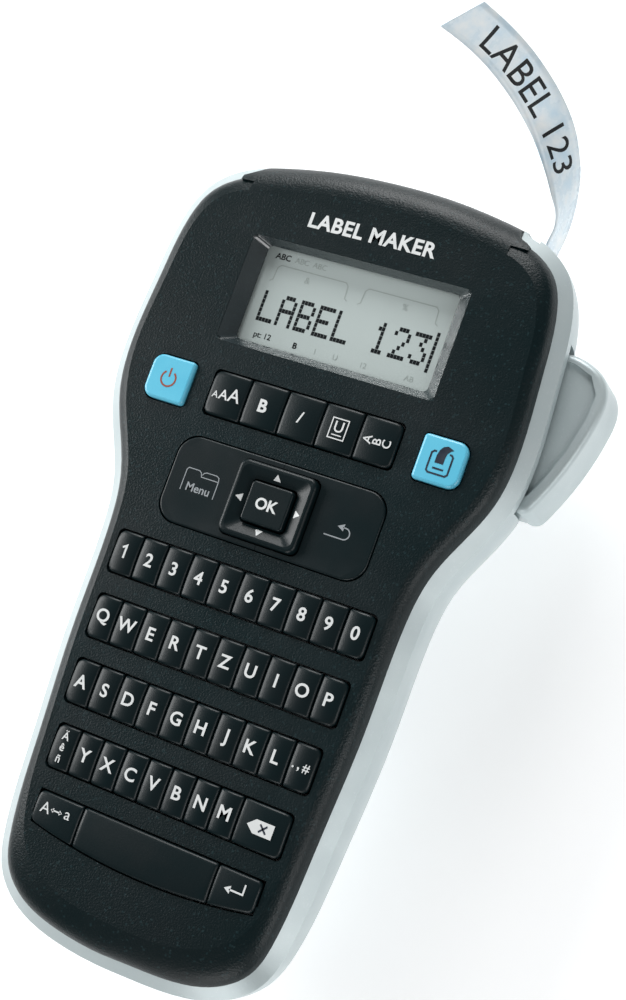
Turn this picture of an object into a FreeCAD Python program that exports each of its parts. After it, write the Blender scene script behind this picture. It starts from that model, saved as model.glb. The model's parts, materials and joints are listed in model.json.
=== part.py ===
import FreeCAD, Part
import math
import os

V = FreeCAD.Vector
os.makedirs("parts", exist_ok=True)

# Hand-held label maker lying on its back, in millimetres.
# X to the cutter side, Y to the end where the label comes out, Z up through the keys.
# The origin is on the flat back, half way along the body.

# Body
face_z = 49.0            # flat front face above the back
seam_z = 44.7            # joint between the black and the silver housing
bevel_z = 42.2           # lower edge of the silver bevel
bevel_out = 3.3          # how far the silver wall stands outside the joint
wall = 2.2
tab_roll = 8.4           # rounding of the black tab over the top end
tab_low_z = 30.5
side_gap = 0.15

# Right half of the joint line, from the bottom end to the top end
seam_half = [(0, -100.5), (18, -99.3), (28, -96.0), (34.2, -90.3), (36.8, -82), (38.8, -58), (40.4, -30),
             (40.8, -4), (43.0, 10), (47.9, 21), (51.6, 30), (53.2, 42), (52.2, 62), (50.6, 77),
             (46.9, 86.3), (40.2, 91.4), (29, 94.6), (15, 96.6), (0, 97.2)]

# Right half of the edge of the flat face, point for point with the joint line
face_half = [(0, -92.6), (16.5, -91.2), (24.8, -87.8), (30.2, -82.8), (33.0, -76.0), (35.4, -56.0),
             (36.9, -29.5), (37.4, -3.0), (39.6, 11.2), (44.8, 22.8), (48.2, 31.2), (49.9, 42.2),
             (48.7, 61.5), (46.9, 75.6), (43.2, 83.2), (37.4, 87.2), (27.6, 88.8), (14.4, 90.3), (0, 90.8)]

# Slope of the black housing from the joint up to the flat face: share of the way in, and height
slope = [(0.0, seam_z), (0.06, 45.7), (0.18, 46.7), (0.36, 47.6), (0.58, 48.25), (0.8, 48.7), (1.0, face_z)]

# Side wall: how far it stands inside the joint line, at each height
flank = [(8.0, -1.0), (4.4, 9.5), (0.2, 20.0), (-2.8, 32.0), (-bevel_out, bevel_z)]

# Underside of the handle, from the bottom end to the flat back: y and height
keel = [(-116, 36.6), (-104, 34.0), (-92, 31.2), (-76, 27.4), (-58, 23.2), (-46, 19.6), (-36, 14.8),
        (-26, 8.4), (-17, 2.7), (-8, 0)]
back_round = 6.5

# Keys
key_top = 50.2
key_bottom = 43.3
key_gap = 0.15
key_round = 0.9
number_row = (-35.3, 35.3, -14.4, -3.4, 10)      # x0, x1, y0, y1, keys
top_row = (-34.6, 34.6, -31.2, -20.0, 10)
middle_row = (-33.8, 33.8, -47.8, -36.6, 10)
bottom_row_x = -32.3
bottom_row_y = (-64.0, -53.0)
bottom_pitch = 6.5
backspace_x1 = 32.6
last_row_x = (-30.8, -18.0, 19.4, 31.2)
last_row_top = -69.5
last_row_side = -77.4
last_row_middle = -80.6
function_row = (-25.8, 25.8, 30.2, 41.7, 5)
blue_box = (31.2, 43.2, 29.9, 41.6)              # print button; the power button mirrors it
plate_box = (-28.2, 28.6, 2.0, 24.3)
plate_round = 5.5
ring_box = (-10.3, 10.7, 3.6, 22.6)
ok_box = (-5.6, 6.0, 7.8, 18.2)
ring_top = 51.4

# Display
recess_box = (-30.0, 30.6, 48.6, 77.7)
glass_box = (-25.6, 26.0, 51.6, 76.3)
glass_top = 45.2
glass_thick = 1.0

# Mechanism
chassis_z = 33.2
chassis_thick = 1.6
level_z = (35.2, 36.8, 38.4)
gear_thick = 1.4
module = 0.8
axle_r = 1.5
run_gap = 0.05
motor_at = (-38.0, 60.0)
feed_at = (34.0, 75.5)
motor_angle = 8.0
second_angle = 5.0
teeth = {"pinion": 12, "first": 40, "first_small": 12, "second": 36, "second_small": 12,
         "idler": 32, "feed": 20, "ribbon": 24}
ribbon_turn = -70.0      # direction of the ribbon spindle seen from the idler

# Label
tape_x = 37.55
tape_z = 24.0
tape_width = 12.0
tape_thick = 0.3
exit_y = 98.0
label_left = [(38.2, 103.0, 30.6), (37.7, 106.4, 33.0), (35.6, 109.6, 35.7), (33.0, 113.7, 39.0),
              (29.5, 118.6, 43.4), (25.3, 123.0, 48.2), (21.2, 126.1, 53.6), (16.6, 128.5, 59.4),
              (12.2, 129.9, 65.3), (7.9, 130.7, 71.1)]
label_right = [(38.5, 104.4, 18.8), (39.3, 111.2, 22.2), (39.4, 118.2, 27.3), (38.6, 122.4, 31.2),
               (37.2, 126.3, 36.6), (34.6, 129.9, 43.2), (31.0, 133.2, 49.9), (26.4, 136.4, 56.4),
               (21.2, 138.6, 62.6), (15.6, 139.9, 68.9)]

# Cutter
pivot_at = (47.0, 33.8)
lever_z = (20.4, 38.6)

# Doors and cells
bay_box = (-30.0, 33.0, 21.5, 79.0)
bay_round = 4.0
door_thick = 2.2
door_lift = 0.15
hinge_r = 1.1
battery_box = (-32.6, 32.6, -57.0, -10.5)
cell_r = 5.1
cell_length = 43.6
cell_z = 33.2
screw_spots = [(-24.0, 83.2), (-34.5, 25.8), (37.5, 25.8), (-22.0, -88.5), (22.0, -88.5)]
jack_at = (-12.0, 36.5)     # x and z of the power socket's axis


def save(shape, name):
    shape.exportStep("parts/" + name + ".step")
    print(name, round(shape.Volume, 1), len(shape.Solids), shape.isValid())


def box(x0, x1, y0, y1, z0, z1):
    return Part.makeBox(x1 - x0, y1 - y0, z1 - z0, V(x0, y0, z0))


def tube(x, y, z0, z1, radius, hole=0.0):
    outer = Part.makeCylinder(radius, z1 - z0, V(x, y, z0))
    if hole:
        outer = outer.cut(Part.makeCylinder(hole, z1 - z0 + 2, V(x, y, z0 - 1)))
    return outer


def rounded(x0, x1, y0, y1, z0, z1, radius):
    block = box(x0, x1, y0, y1, z0, z1)
    upright = [e for e in block.Edges if abs(e.tangentAt(e.FirstParameter).z) > 0.9]
    return block.makeFillet(radius, upright)


def top_edges(solid, z):
    return [e for e in solid.Edges if abs(e.BoundBox.ZMin - z) < 1e-4 and abs(e.BoundBox.ZMax - z) < 1e-4]


def prism(points, z0, z1):
    wire = Part.makePolygon([V(x, y, z0) for x, y in points] + [V(points[0][0], points[0][1], z0)])
    return Part.Face(wire).extrude(V(0, 0, z1 - z0))


# Outlines of the body

def outline(inset, z):
    """Closed smooth outline: the joint line moved inwards by inset."""
    right = seam_half[:-1]
    left = [(-x, y) for x, y in reversed(seam_half[1:])]
    points = [V(x, y, 0) for x, y in right + left]
    base = Part.BSplineCurve()
    base.interpolate(Points=points, PeriodicFlag=True)
    moved = []
    for point in points:
        tangent = base.tangent(base.parameter(point))[0]
        moved.append(V(point.x - inset * tangent.y, point.y + inset * tangent.x, z))
    curve = Part.BSplineCurve()
    curve.interpolate(Points=moved, PeriodicFlag=True)
    return Part.Wire(curve.toShape())


def slope_outline(share, z):
    """Closed smooth outline between the joint line and the edge of the flat face."""
    pairs = zip(seam_half, face_half)
    right = [(a[0] + (b[0] - a[0]) * share, a[1] + (b[1] - a[1]) * share) for a, b in pairs]
    left = [(-x, y) for x, y in reversed(right[1:])]
    curve = Part.BSplineCurve()
    curve.interpolate(Points=[V(x, y, z) for x, y in right[:-1] + left], PeriodicFlag=True)
    return Part.Wire(curve.toShape())


def slab(inset, z0, z1):
    return Part.Face(outline(inset, z0)).extrude(V(0, 0, z1 - z0))


def above_keel(thick):
    """Everything above the underside moved inwards by thick."""
    curve = Part.BSplineCurve()
    curve.interpolate(Points=[V(-80, y, z + thick) for y, z in keel], InitialTangent=V(0, 1, -0.25),
                      FinalTangent=V(0, 1, 0))
    low, high = keel[0], keel[-1]
    corners = [V(-80, high[0], high[1] + thick), V(-80, 130, thick), V(-80, 130, 90), V(-80, low[0], 90),
               V(-80, low[0], low[1] + thick)]
    lines = [Part.makeLine(a, b) for a, b in zip(corners, corners[1:])]
    return Part.Face(Part.Wire([curve.toShape()] + lines)).extrude(V(160, 0, 0))


def rear_block(thick, radius):
    """Silver body below its bevel, moved inwards by thick, with its back edge rounded."""
    walls = Part.makeLoft([outline(inset + thick, z) for inset, z in flank], True, False)
    block = walls.common(above_keel(thick)).Solids[0].removeSplitter()
    rim = [e for e in block.Edges if e.BoundBox.ZMax < bevel_z - 1 and e.BoundBox.YLength > 0.1]
    return block.makeFillet(radius, rim)


def tab_prism(grow, z0, z1):
    return prism([(-35.2 - grow, 88), (-34.6 - grow, 92), (-31.2 - grow, 108), (35.4 + grow, 108),
                  (35.0 + grow, 88)], z0, z1)


def tab_corners(grow):
    """Curved corners where the black tab meets the joint line."""
    right = [(34.0, 90.5), (34.0, 95.4), (35.3 + grow, 95.4), (35.5 + grow, 94.2 + grow),
             (36.1 + grow, 93.4 + grow), (37.0 + grow, 92.9 + grow), (38.2 + grow, 92.4 + grow),
             (39.3 + grow, 91.7 + grow), (39.3, 90.5)]
    left = [(-33.4, 90.5), (-38.8, 90.5), (-38.8 - grow, 91.9 + grow), (-36.8 - grow, 93.2 + grow),
            (-35.2 - grow, 94.5 + grow), (-34.2 - grow, 96.0 + grow), (-33.6, 97.6)]
    low = bevel_z - grow
    return prism(right, low, 80).fuse(prism(left, low, 80))


def rear_solid():
    bevel = Part.makeLoft([outline(-bevel_out, bevel_z), outline(0, seam_z)], True, True)
    return rear_block(0, back_round).fuse(bevel)


def rear_cavity():
    low = rear_block(wall, back_round - wall).common(box(-80, 80, -120, 120, -5, 40.4))
    return low.fuse(slab(1.7, 40.3, seam_z + 1))


def screw_floor(y):
    """Height of the seat under a screw's head."""
    return 11.0 if y > 0 else 37.4


def make_rear_housing(solid):
    shell = solid.cut(rear_cavity())
    for x, y in screw_spots:
        boss = tube(x, y, -2, 40.6, 3.6).common(solid)
        shell = shell.fuse(boss)
    hinge_y = bay_box[2]
    for side in (-1, 1):
        edge = bay_box[0] if side < 0 else bay_box[1]
        low, high = sorted((edge + side * 0.3, edge + side * 6.3))
        shell = shell.fuse(box(low, high, hinge_y - 2.4, hinge_y + 2.4, 0.0, 4.4).common(solid))
    px, py = pivot_at
    for low, high in ((lever_z[0] - 3.0, lever_z[0] - 0.5), (lever_z[1] + 0.5, 40.6)):
        shell = shell.fuse(box(px - 3.4, px + 8, py - 3.2, py + 3.2, low, high).common(solid))
    for x, y in screw_spots:
        floor = screw_floor(y)
        shell = shell.cut(tube(x, y, -3, 60, 1.6))
        shell = shell.cut(tube(x, y, -3, floor, 2.9))
    x0, x1, y0, y1 = bay_box
    opening = rounded(x0 - 0.25, x1 + 0.25, y0 - 9, y1 + 0.25, -3, wall + 0.8, bay_round + 0.2)
    opening = opening.common(box(x0 - 1, x1 + 1, y0 - hinge_r - 0.3, y1 + 1, -4, 9))
    shell = shell.cut(opening)
    pins = Part.makeCylinder(0.7, x1 - x0 + 7, V(x0 - 3.5, hinge_y, door_lift + hinge_r), V(1, 0, 0))
    shell = shell.cut(pins)
    bx0, bx1, by0, by1 = battery_box
    shell = shell.cut(box(bx0 - side_gap, bx1 + side_gap, by0 - side_gap, by1 + side_gap, -3, 34))
    shell = shell.cut(tab_prism(0.05, tab_low_z - 0.05, 80)).cut(tab_corners(0.05))
    shell = shell.cut(box(45, 70, 30.4, 73.2, lever_z[0] - 0.5, lever_z[1] + 0.5))
    shell = shell.cut(tube(px, py, lever_z[0] - 3.5, 40.0, 1.0))
    shell = shell.cut(box(36.3, 39.9, 86, 108, tape_z - 7, bevel_z + 0.6))
    return shell


def make_front_housing():
    body = Part.makeLoft([slope_outline(share, z) for share, z in slope], True, False)
    tab = slab(-bevel_out, tab_low_z, face_z)
    tab = tab.makeFillet(tab_roll, top_edges(tab, face_z))
    tab = tab.common(tab_prism(0, 0, 80).fuse(tab_corners(0)))
    tab = tab.common(rear_block(0, back_round).fuse(slab(-bevel_out, bevel_z, face_z + 1)))
    solid = body.fuse(tab)
    room = slab(2.0, seam_z - 1, face_z - 2.2)
    room = room.makeFillet(2.0, top_edges(room, face_z - 2.2))
    tab_room = slab(wall - bevel_out, tab_low_z - 1, face_z - 2.2)
    tab_room = tab_room.makeFillet(tab_roll - wall, top_edges(tab_room, face_z - 2.2))
    tab_room = tab_room.common(tab_prism(-2.0, 0, 80))
    shell = solid.cut(room).cut(tab_room)
    rx0, rx1, ry0, ry1 = recess_box
    frame = box(rx0 - 0.6, rx1 + 0.6, ry0 - 0.6, ry1 + 0.6, glass_top, face_z - 1)
    shell = shell.fuse(frame)
    gx0, gx1, gy0, gy1 = glass_box
    funnel = Part.makeLoft([rounded_wire(gx0, gx1, gy0, gy1, glass_top - 0.5, 1.0),
                            rounded_wire(rx0, rx1, ry0, ry1, face_z + 0.5, 1.6)], True, True)
    shell = shell.cut(funnel)
    for x, y in screw_spots:
        top = face_z - 1.5
        shell = shell.fuse(tube(x, y, 40.7, top, 3.0, 1.1))
    for well in key_wells():
        shell = shell.cut(well)
    jack = Part.makeCylinder(3.4, 12, V(jack_at[0], 96, jack_at[1]), V(0, 1, 0))
    return shell.cut(jack)


def rounded_wire(x0, x1, y0, y1, z, radius):
    flat = rounded(x0, x1, y0, y1, z, z + 1, radius)
    lowest = [f for f in flat.Faces if abs(f.BoundBox.ZMax - z) < 1e-6][0]
    return lowest.OuterWire


# Keys

def well(x0, x1, y0, y1, radius=1.4):
    margin = 0.3
    return rounded(x0 - margin, x1 + margin, y0 - margin, y1 + margin, 42, 60, radius)


def last_row_outline(z, low_shift=0.0):
    x0, x1 = last_row_x[0], last_row_x[3]
    left = V(x0, last_row_side - low_shift, z)
    right = V(x1, last_row_side - low_shift, z)
    arc = Part.Arc(left, V(0, last_row_middle - low_shift, z), right).toShape()
    top = last_row_top + low_shift
    sides = [arc, Part.makeLine(right, V(x1, top, z)), Part.makeLine(V(x1, top, z), V(x0, top, z)),
             Part.makeLine(V(x0, top, z), left)]
    return Part.Wire(sides)


def key_wells():
    wells = [well(*row[:4]) for row in (number_row, top_row, middle_row, function_row)]
    wells.append(well(bottom_row_x, backspace_x1, *bottom_row_y))
    wells += [blue_block(side, 0.3, 42, 60) for side in (-1, 1)]
    wells.append(well(*plate_box, plate_round))
    last = Part.Face(last_row_outline(42, 0.3)).extrude(V(0, 0, 18))
    ends = box(last_row_x[0] - 0.3, last_row_x[3] + 0.3, last_row_top - 6, last_row_top + 0.3, 42, 60)
    wells.append(last.fuse(ends).removeSplitter())
    return wells


def key_cap(x0, x1, y0, y1, corner=0.6, top=key_top):
    cap = rounded(x0 + key_gap, x1 - key_gap, y0 + key_gap, y1 - key_gap, key_bottom, top, corner)
    return cap.makeFillet(key_round * min(1.0, corner / 0.5) * 0.6, top_edges(cap, top))


def row_keys(row, skip=()):
    x0, x1, y0, y1, count = row
    pitch = (x1 - x0) / count
    keys = []
    for i in range(count):
        if i not in skip:
            keys.append(key_cap(x0 + i * pitch, x0 + (i + 1) * pitch, y0, y1))
    return keys


def last_row_key(x0, x1):
    body = Part.Face(last_row_outline(key_bottom, -key_gap)).extrude(V(0, 0, key_top - key_bottom))
    cap = body.common(box(x0 + key_gap, x1 - key_gap, -90, -60, 40, 60))
    return cap.makeFillet(0.6, top_edges(cap, key_top))


def plate_key(left):
    """Half of the flat plate that surrounds the navigation ring."""
    top = face_z + 0.3
    x0, x1, y0, y1 = plate_box
    plate = rounded(x0, x1, y0, y1, key_bottom, top, plate_round)
    plate = plate.makeFillet(0.5, top_edges(plate, top))
    rx0, rx1, ry0, ry1 = ring_box
    plate = plate.cut(rounded(rx0 - 0.35, rx1 + 0.35, ry0 - 0.35, ry1 + 0.35, 40, 60, 2.0))
    middle = (rx0 + rx1) / 2
    half = box(x0 - 1, middle - 0.06, y0 - 1, y1 + 1, 40, 60)
    if not left:
        half = box(middle + 0.06, x1 + 1, y0 - 1, y1 + 1, 40, 60)
    return plate.common(half)


def make_ring():
    ring = rounded(*ring_box, key_bottom + 1.2, ring_top, 2.2)
    ring = ring.makeFillet(0.9, top_edges(ring, ring_top))
    x0, x1, y0, y1 = ok_box
    dish = Part.makeLoft([rounded_wire(x0 - 0.4, x1 + 0.4, y0 - 0.4, y1 + 0.4, ring_top - 1.3, 1.2),
                          rounded_wire(ring_box[0] + 0.9, ring_box[1] - 0.9, ring_box[2] + 0.9,
                                       ring_box[3] - 0.9, ring_top + 0.15, 1.9)], True, True)
    hole = rounded(x0 - 0.4, x1 + 0.4, y0 - 0.4, y1 + 0.4, 40, 60, 1.2)
    return ring.cut(dish).cut(hole)


def nav_centre():
    return (ring_box[0] + ring_box[1]) / 2, (ring_box[2] + ring_box[3]) / 2


def make_nav_pivot():
    """Small frame under the ring that tips one way while the ring tips the other way on it."""
    cx, cy = nav_centre()
    outer = rounded(cx - 8.6, cx + 8.6, cy - 7.8, cy + 7.8, 42.9, 43.9, 1.5)
    return outer.cut(rounded(cx - 6.4, cx + 6.4, cy - 5.8, cy + 5.8, 40, 50, 1.2))


def make_keys():
    keys = {"number_keys": Part.makeCompound(row_keys(number_row)),
            "top_letter_keys": Part.makeCompound(row_keys(top_row)),
            "middle_letter_keys": Part.makeCompound(row_keys(middle_row))}
    x = bottom_row_x
    letters = [key_cap(x + i * bottom_pitch, x + (i + 1) * bottom_pitch, *bottom_row_y) for i in range(8)]
    keys["accent_key"] = letters[0]
    keys["bottom_letter_keys"] = Part.makeCompound(letters[1:])
    keys["backspace_key"] = key_cap(x + 8 * bottom_pitch, backspace_x1, *bottom_row_y)
    keys["caps_key"] = last_row_key(last_row_x[0], last_row_x[1])
    keys["space_bar"] = last_row_key(last_row_x[1], last_row_x[2])
    keys["enter_key"] = last_row_key(last_row_x[2], last_row_x[3])
    names = ("size_key", "bold_key", "italic_key", "underline_key", "vertical_key")
    for name, cap in zip(names, row_keys(function_row)):
        keys[name] = cap
    keys["print_button"] = blue_cap(1)
    keys["power_button"] = blue_cap(-1)
    keys["menu_key"] = plate_key(True)
    keys["back_key"] = plate_key(False)
    keys["navigation_ring"] = make_ring()
    keys["navigation_pivot"] = make_nav_pivot()
    keys["ok_button"] = key_cap(*ok_box, 1.0, ring_top + 0.1)
    return keys


def blue_block(side, grow, z0, z1):
    """Block whose corners away from the middle have the larger radius."""
    outer_round, inner_round = 3.0, 1.2
    x0, x1, y0, y1 = blue_box
    middle = (x0 + x1) / 2
    wide = rounded(x0 - grow, x1 + grow, y0 - grow, y1 + grow, z0, z1, outer_round + grow)
    tight = rounded(x0 - grow, x1 + grow, y0 - grow, y1 + grow, z0, z1, inner_round + grow)
    block = wide.fuse(tight.common(box(x0 - 2, middle, y0 - 2, y1 + 2, z0, z1))).removeSplitter()
    return block if side > 0 else block.mirror(V(0, 0, 0), V(1, 0, 0))


def blue_cap(side):
    cap = blue_block(side, -key_gap, key_bottom, key_top)
    return cap.makeFillet(0.8, top_edges(cap, key_top))


def make_membrane():
    sheet = rounded(-37.4, 37.4, -83, 43.5, 41.7, 42.3, 4)
    for x, y in screw_spots:
        sheet = sheet.cut(tube(x, y, 40, 44, 4.2))
    return sheet.common(slab(2.6, 40, 44))


def make_board():
    board = rounded(-36.8, 36.8, -82.5, 44.2, 40.0, 41.5, 3)
    for x, y in screw_spots:
        board = board.cut(tube(x, y, 39, 44, 4.2))
    return board.common(slab(2.9, 39, 43))


# Gears

def involute(angle):
    return math.tan(angle) - angle


def gear(count, phase, centre, z0, thick, bore):
    pitch_r = module * count / 2
    base_r = pitch_r * math.cos(math.radians(20))
    tip_r = pitch_r + 0.8 * module
    root_r = pitch_r - 1.15 * module
    slack = 0.07 / pitch_r
    half_pitch = math.pi / (2 * count) + involute(math.radians(20)) - slack
    start = max(base_r, root_r)
    radii = [start + (tip_r - start) * i / 3 for i in range(4)]
    flank = [(r, half_pitch - involute(math.acos(min(1.0, base_r / r)))) for r in radii]
    flank = [(root_r, flank[0][1])] + flank if root_r < start - 1e-6 else flank
    points = []
    for tooth in range(count):
        middle = phase + 2 * math.pi * tooth / count
        sides = [(r, middle - a) for r, a in flank] + [(r, middle + a) for r, a in reversed(flank)]
        points += [(centre[0] + r * math.cos(a), centre[1] + r * math.sin(a)) for r, a in sides]
    wheel = prism(points, z0, z0 + thick)
    return wheel.cut(tube(centre[0], centre[1], z0 - 1, z0 + thick + 1, bore))


def mesh_phase(centre_a, count_a, phase_a, centre_b, count_b):
    """Phase of gear b that puts its gaps over the teeth of gear a."""
    radius_a = module * count_a / 2
    radius_b = module * count_b / 2
    line = math.atan2(centre_b[1] - centre_a[1], centre_b[0] - centre_a[0])
    shift = (phase_a - line) * radius_a
    return line + math.pi - (shift + math.pi * module / 2) / radius_b


def step_from(centre, angle, distance):
    turn = math.radians(angle)
    return centre[0] + distance * math.cos(turn), centre[1] + distance * math.sin(turn)


def distance_of(a, b):
    return module * (teeth[a] + teeth[b]) / 2


def circle_meet(a, radius_a, b, radius_b):
    dx, dy = b[0] - a[0], b[1] - a[1]
    gap = math.hypot(dx, dy)
    along = (radius_a ** 2 - radius_b ** 2 + gap ** 2) / (2 * gap)
    off = math.sqrt(radius_a ** 2 - along ** 2)
    return a[0] + along * dx / gap - off * dy / gap, a[1] + along * dy / gap + off * dx / gap


def gear_places():
    first = step_from(motor_at, motor_angle, distance_of("pinion", "first"))
    second = step_from(first, second_angle, distance_of("first_small", "second"))
    idler = circle_meet(second, distance_of("second_small", "idler"), feed_at, distance_of("idler", "feed"))
    ribbon = step_from(idler, ribbon_turn, distance_of("idler", "ribbon"))
    return {"first": first, "second": second, "idler": idler, "ribbon": ribbon}


def make_gears(places):
    low, middle, high = level_z
    bore = axle_r + run_gap
    first_phase = mesh_phase(motor_at, teeth["pinion"], 0, places["first"], teeth["first"])
    second_phase = mesh_phase(places["first"], teeth["first_small"], 0, places["second"], teeth["second"])
    idler_phase = mesh_phase(places["second"], teeth["second_small"], 0, places["idler"], teeth["idler"])
    feed_phase = mesh_phase(places["idler"], teeth["idler"], idler_phase, feed_at, teeth["feed"])
    ribbon_phase = mesh_phase(places["idler"], teeth["idler"], idler_phase, places["ribbon"],
                              teeth["ribbon"])
    hub_gap = 0.2
    hub_r = 2.3
    gears = {}
    gears["motor_pinion"] = gear(teeth["pinion"], 0, motor_at, low, gear_thick, 1.0)
    first = gear(teeth["first"], first_phase, places["first"], low, gear_thick, bore)
    first = first.fuse(tube(*places["first"], low, middle, hub_r, bore))
    gears["first_reduction_gear"] = first.fuse(
        gear(teeth["first_small"], 0, places["first"], middle - 0.01, gear_thick + 0.01, bore))
    second = gear(teeth["second"], second_phase, places["second"], middle, gear_thick, bore)
    second = second.fuse(tube(*places["second"], low, high, hub_r, bore))
    gears["second_reduction_gear"] = second.fuse(
        gear(teeth["second_small"], 0, places["second"], high - 0.01, gear_thick + 0.01, bore))
    idler = gear(teeth["idler"], idler_phase, places["idler"], high, gear_thick, bore)
    gears["idler_gear"] = idler.fuse(tube(*places["idler"], low, high + hub_gap, hub_r, bore))
    gears["feed_gear"] = gear(teeth["feed"], feed_phase, feed_at, high, gear_thick, 1.5)
    gears["ribbon_drive_gear"] = gear(teeth["ribbon"], ribbon_phase, places["ribbon"], high, gear_thick, 1.5)
    return gears


def make_axles(places):
    top = level_z[2] + gear_thick - 0.1
    axles = [tube(*places[name], chassis_z, top, axle_r) for name in ("first", "idler")]
    axles.append(tube(*places["second"], chassis_z, top, axle_r))
    return Part.makeCompound(axles)


def make_chassis(places):
    z0, z1 = chassis_z, chassis_z + chassis_thick
    plate = box(-50, 44, 20, 87, z0, z1).common(slab(wall - bevel_out + 0.6, z0 - 1, z1 + 1))
    plate = plate.cut(box(-24, -3, 83, 95, z0 - 1, z1 + 1))
    plate = plate.fuse(box(40.0, 42.2, 71.5, 79.5, tape_z - 6.6, z0 + 0.2))
    plate = plate.fuse(box(36.0, 37.2, 80.2, 83.4, tape_z - 7, z0 + 0.2))
    plate = plate.fuse(box(31.6, 33.2, 61, 68, tape_z - 5, z0 + 0.2))
    for x, y in ((-49.0, 34.0), (-49.0, 78.0), (40.0, 22.5), (-38.0, 84.0)):
        plate = plate.cut(tube(x, y, z0 - 1, z1 + 1, 1.2))
    for name in ("first", "second", "idler"):
        plate = plate.cut(tube(*places[name], z0 - 1, z1 + 1, axle_r))
    for spot in (places["ribbon"], feed_at):
        plate = plate.cut(tube(*spot, z0 - 1, z1 + 1, 1.5 + run_gap))
    plate = plate.cut(tube(*motor_at, z0 - 1, z1 + 1, 3.2))
    for x, y in screw_spots:
        plate = plate.cut(tube(x, y, z0 - 1, z1 + 1, 4.0))
    return plate


def make_motor():
    x, y = motor_at
    can = tube(x, y, 15.5, chassis_z, 9.6)
    can = can.makeFillet(1.2, [e for e in can.Edges if abs(e.BoundBox.ZMax - 15.5) < 0.01])
    flats = box(x - 20, x + 20, y - 7.6, y + 7.6, 0, 60)
    can = can.common(flats).fuse(tube(x, y, chassis_z - 0.1, chassis_z + chassis_thick, 3.1))
    return can.cut(tube(x, y, 20, 40, 1.0 + run_gap))


def make_feed_shaft():
    x, y = feed_at
    return tube(x, y, 15.5, level_z[2] + gear_thick, 1.5)


def make_ribbon_spindle(places):
    x, y = places["ribbon"]
    post = tube(x, y, 18, level_z[2] + gear_thick, 1.5)
    fins = [box(x - 2.2, x + 2.2, y - 0.5, y + 0.5, 18.2, 31), box(x - 0.5, x + 0.5, y - 2.2, y + 2.2, 18.2, 31)]
    return post.fuse(fins[0]).fuse(fins[1])


def make_cassette(places):
    """Case, tape spool and ribbon spool of the 12 mm tape cassette."""
    x0, x1, y0, y1, z0, z1 = -26.0, 30.0, 23.0, 77.0, 13.2, 32.8
    case = rounded(x0, x1, y0, y1, z0, z1, 4)
    room = rounded(x0 + 1.3, x1 - 1.3, y0 + 1.3, y1 - 1.3, z0 + 1.3, z1 - 1.3, 3)
    case = case.cut(room)
    case = case.cut(tube(*places["ribbon"], 20, 40, 3.4))
    case = case.cut(box(28, 32, 69.0, 72.5, tape_z - 6.6, tape_z + 6.6))
    label = box(-21, 25, 28, 70, z0 - 1, z0 + 0.3)
    case = case.cut(label)
    tape = tube(-5, 49, 15.2, 30.8, 19.5, 6.0)
    tape_core = tube(-5, 49, 14.8, 31.2, 6.0, 4.5)
    ribbon = tube(*places["ribbon"], 17.0, 30.8, 6.6, 2.6)
    return case, tape.fuse(tape_core), ribbon


def make_print_head():
    head = box(37.85, 40.0, 72.2, 79.2, tape_z - 6.4, tape_z + 7.2)
    return head.makeFillet(0.4, [e for e in head.Edges if abs(e.BoundBox.XMax - 37.85) < 0.01])


def make_lever():
    """Wedge with its wide end at the top, a dished front and an inner nose that moves the cutter."""
    z0, z1 = lever_z
    px, py = pivot_at
    outer = ((56.6, 71.3), (61.2, 70.0), (65.0, 67.4), (66.8, 63.6), (66.7, 57.6), (64.6, 48.0), (61.2, 38.4),
             (58.6, 32.9))
    back = Part.BSplineCurve()
    back.interpolate(Points=[V(x, y, z0) for x, y in outer])
    foot = Part.Arc(V(58.6, 32.9, z0), V(57.0, 31.4, z0), V(54.6, 31.4, z0)).toShape()
    inner = [V(x, y, z0) for x, y in ((54.6, 31.4), (46.6, 31.2), (44.4, 33.8), (46.0, 37.4), (51.4, 42.0),
                                      (53.2, 71.3), (56.6, 71.3))]
    sides = [Part.makeLine(a, b) for a, b in zip(inner, inner[1:])]
    body = Part.Face(Part.Wire([back.toShape(), foot] + sides)).extrude(V(0, 0, z1 - z0))
    body = body.makeFillet(1.6, [e for e in body.Edges if e.BoundBox.ZLength < 1e-4])
    dish = prism([(51.6, 69.6), (57.0, 69.2), (61.6, 67.4), (64.2, 63.2), (64.0, 57.4), (61.8, 48.0),
                  (58.6, 39.4), (56.4, 35.4), (51.6, 35.4)], z1 - 1.0, z1 + 2)
    body = body.cut(dish)
    hollow = prism([(49, 69.0), (56.4, 68.8), (61.0, 66.8), (63.8, 62.6), (63.6, 57.4), (61.6, 48.0),
                    (59.4, 41.0), (49, 41.0)], z0 + 1.8, z1 - 2.8)
    rib = box(53.5, 63.0, 57.2, 61.2, z0 + 1.0, z1 - 2.0)
    body = body.cut(hollow).fuse(rib)
    body = body.fuse(box(46.6, 56.0, 58.0, 60.4, tape_z - 3, tape_z + 3))
    body = body.fuse(tube(46.6, 59.2, tape_z - 3, tape_z + 3, 1.5))
    return body.cut(tube(px, py, 0, 60, 1.0 + run_gap)).removeSplitter()


def make_cutter():
    """Carrier that slides towards the tape below the print head, and the blade it holds."""
    low, high = tape_z - 6.4, tape_z + 6.4
    floor, ceiling = tape_z - 9.4, tape_z - 7.0
    carrier = prism([(41.6, 56.5), (44.9, 56.5), (44.9, 75.0), (42.6, 82.8), (41.6, 82.8)], floor, ceiling)
    carrier = carrier.fuse(box(43.4, 44.9, 56.5, 61.8, floor, tape_z + 3.4))
    carrier = carrier.fuse(box(42.4, 44.9, 61.5, 67.5, floor, tape_z + 3.0))
    carrier = carrier.fuse(box(42.2, 43.2, 80.2, 82.8, ceiling - 0.5, high))
    blade = prism([(41.6, 81.5), (42.9, 81.15), (42.9, 81.85)], low, high)
    groove = box(41.5, 42.9, 81.1, 81.9, low, high + 1)
    return carrier.cut(groove), blade


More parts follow.
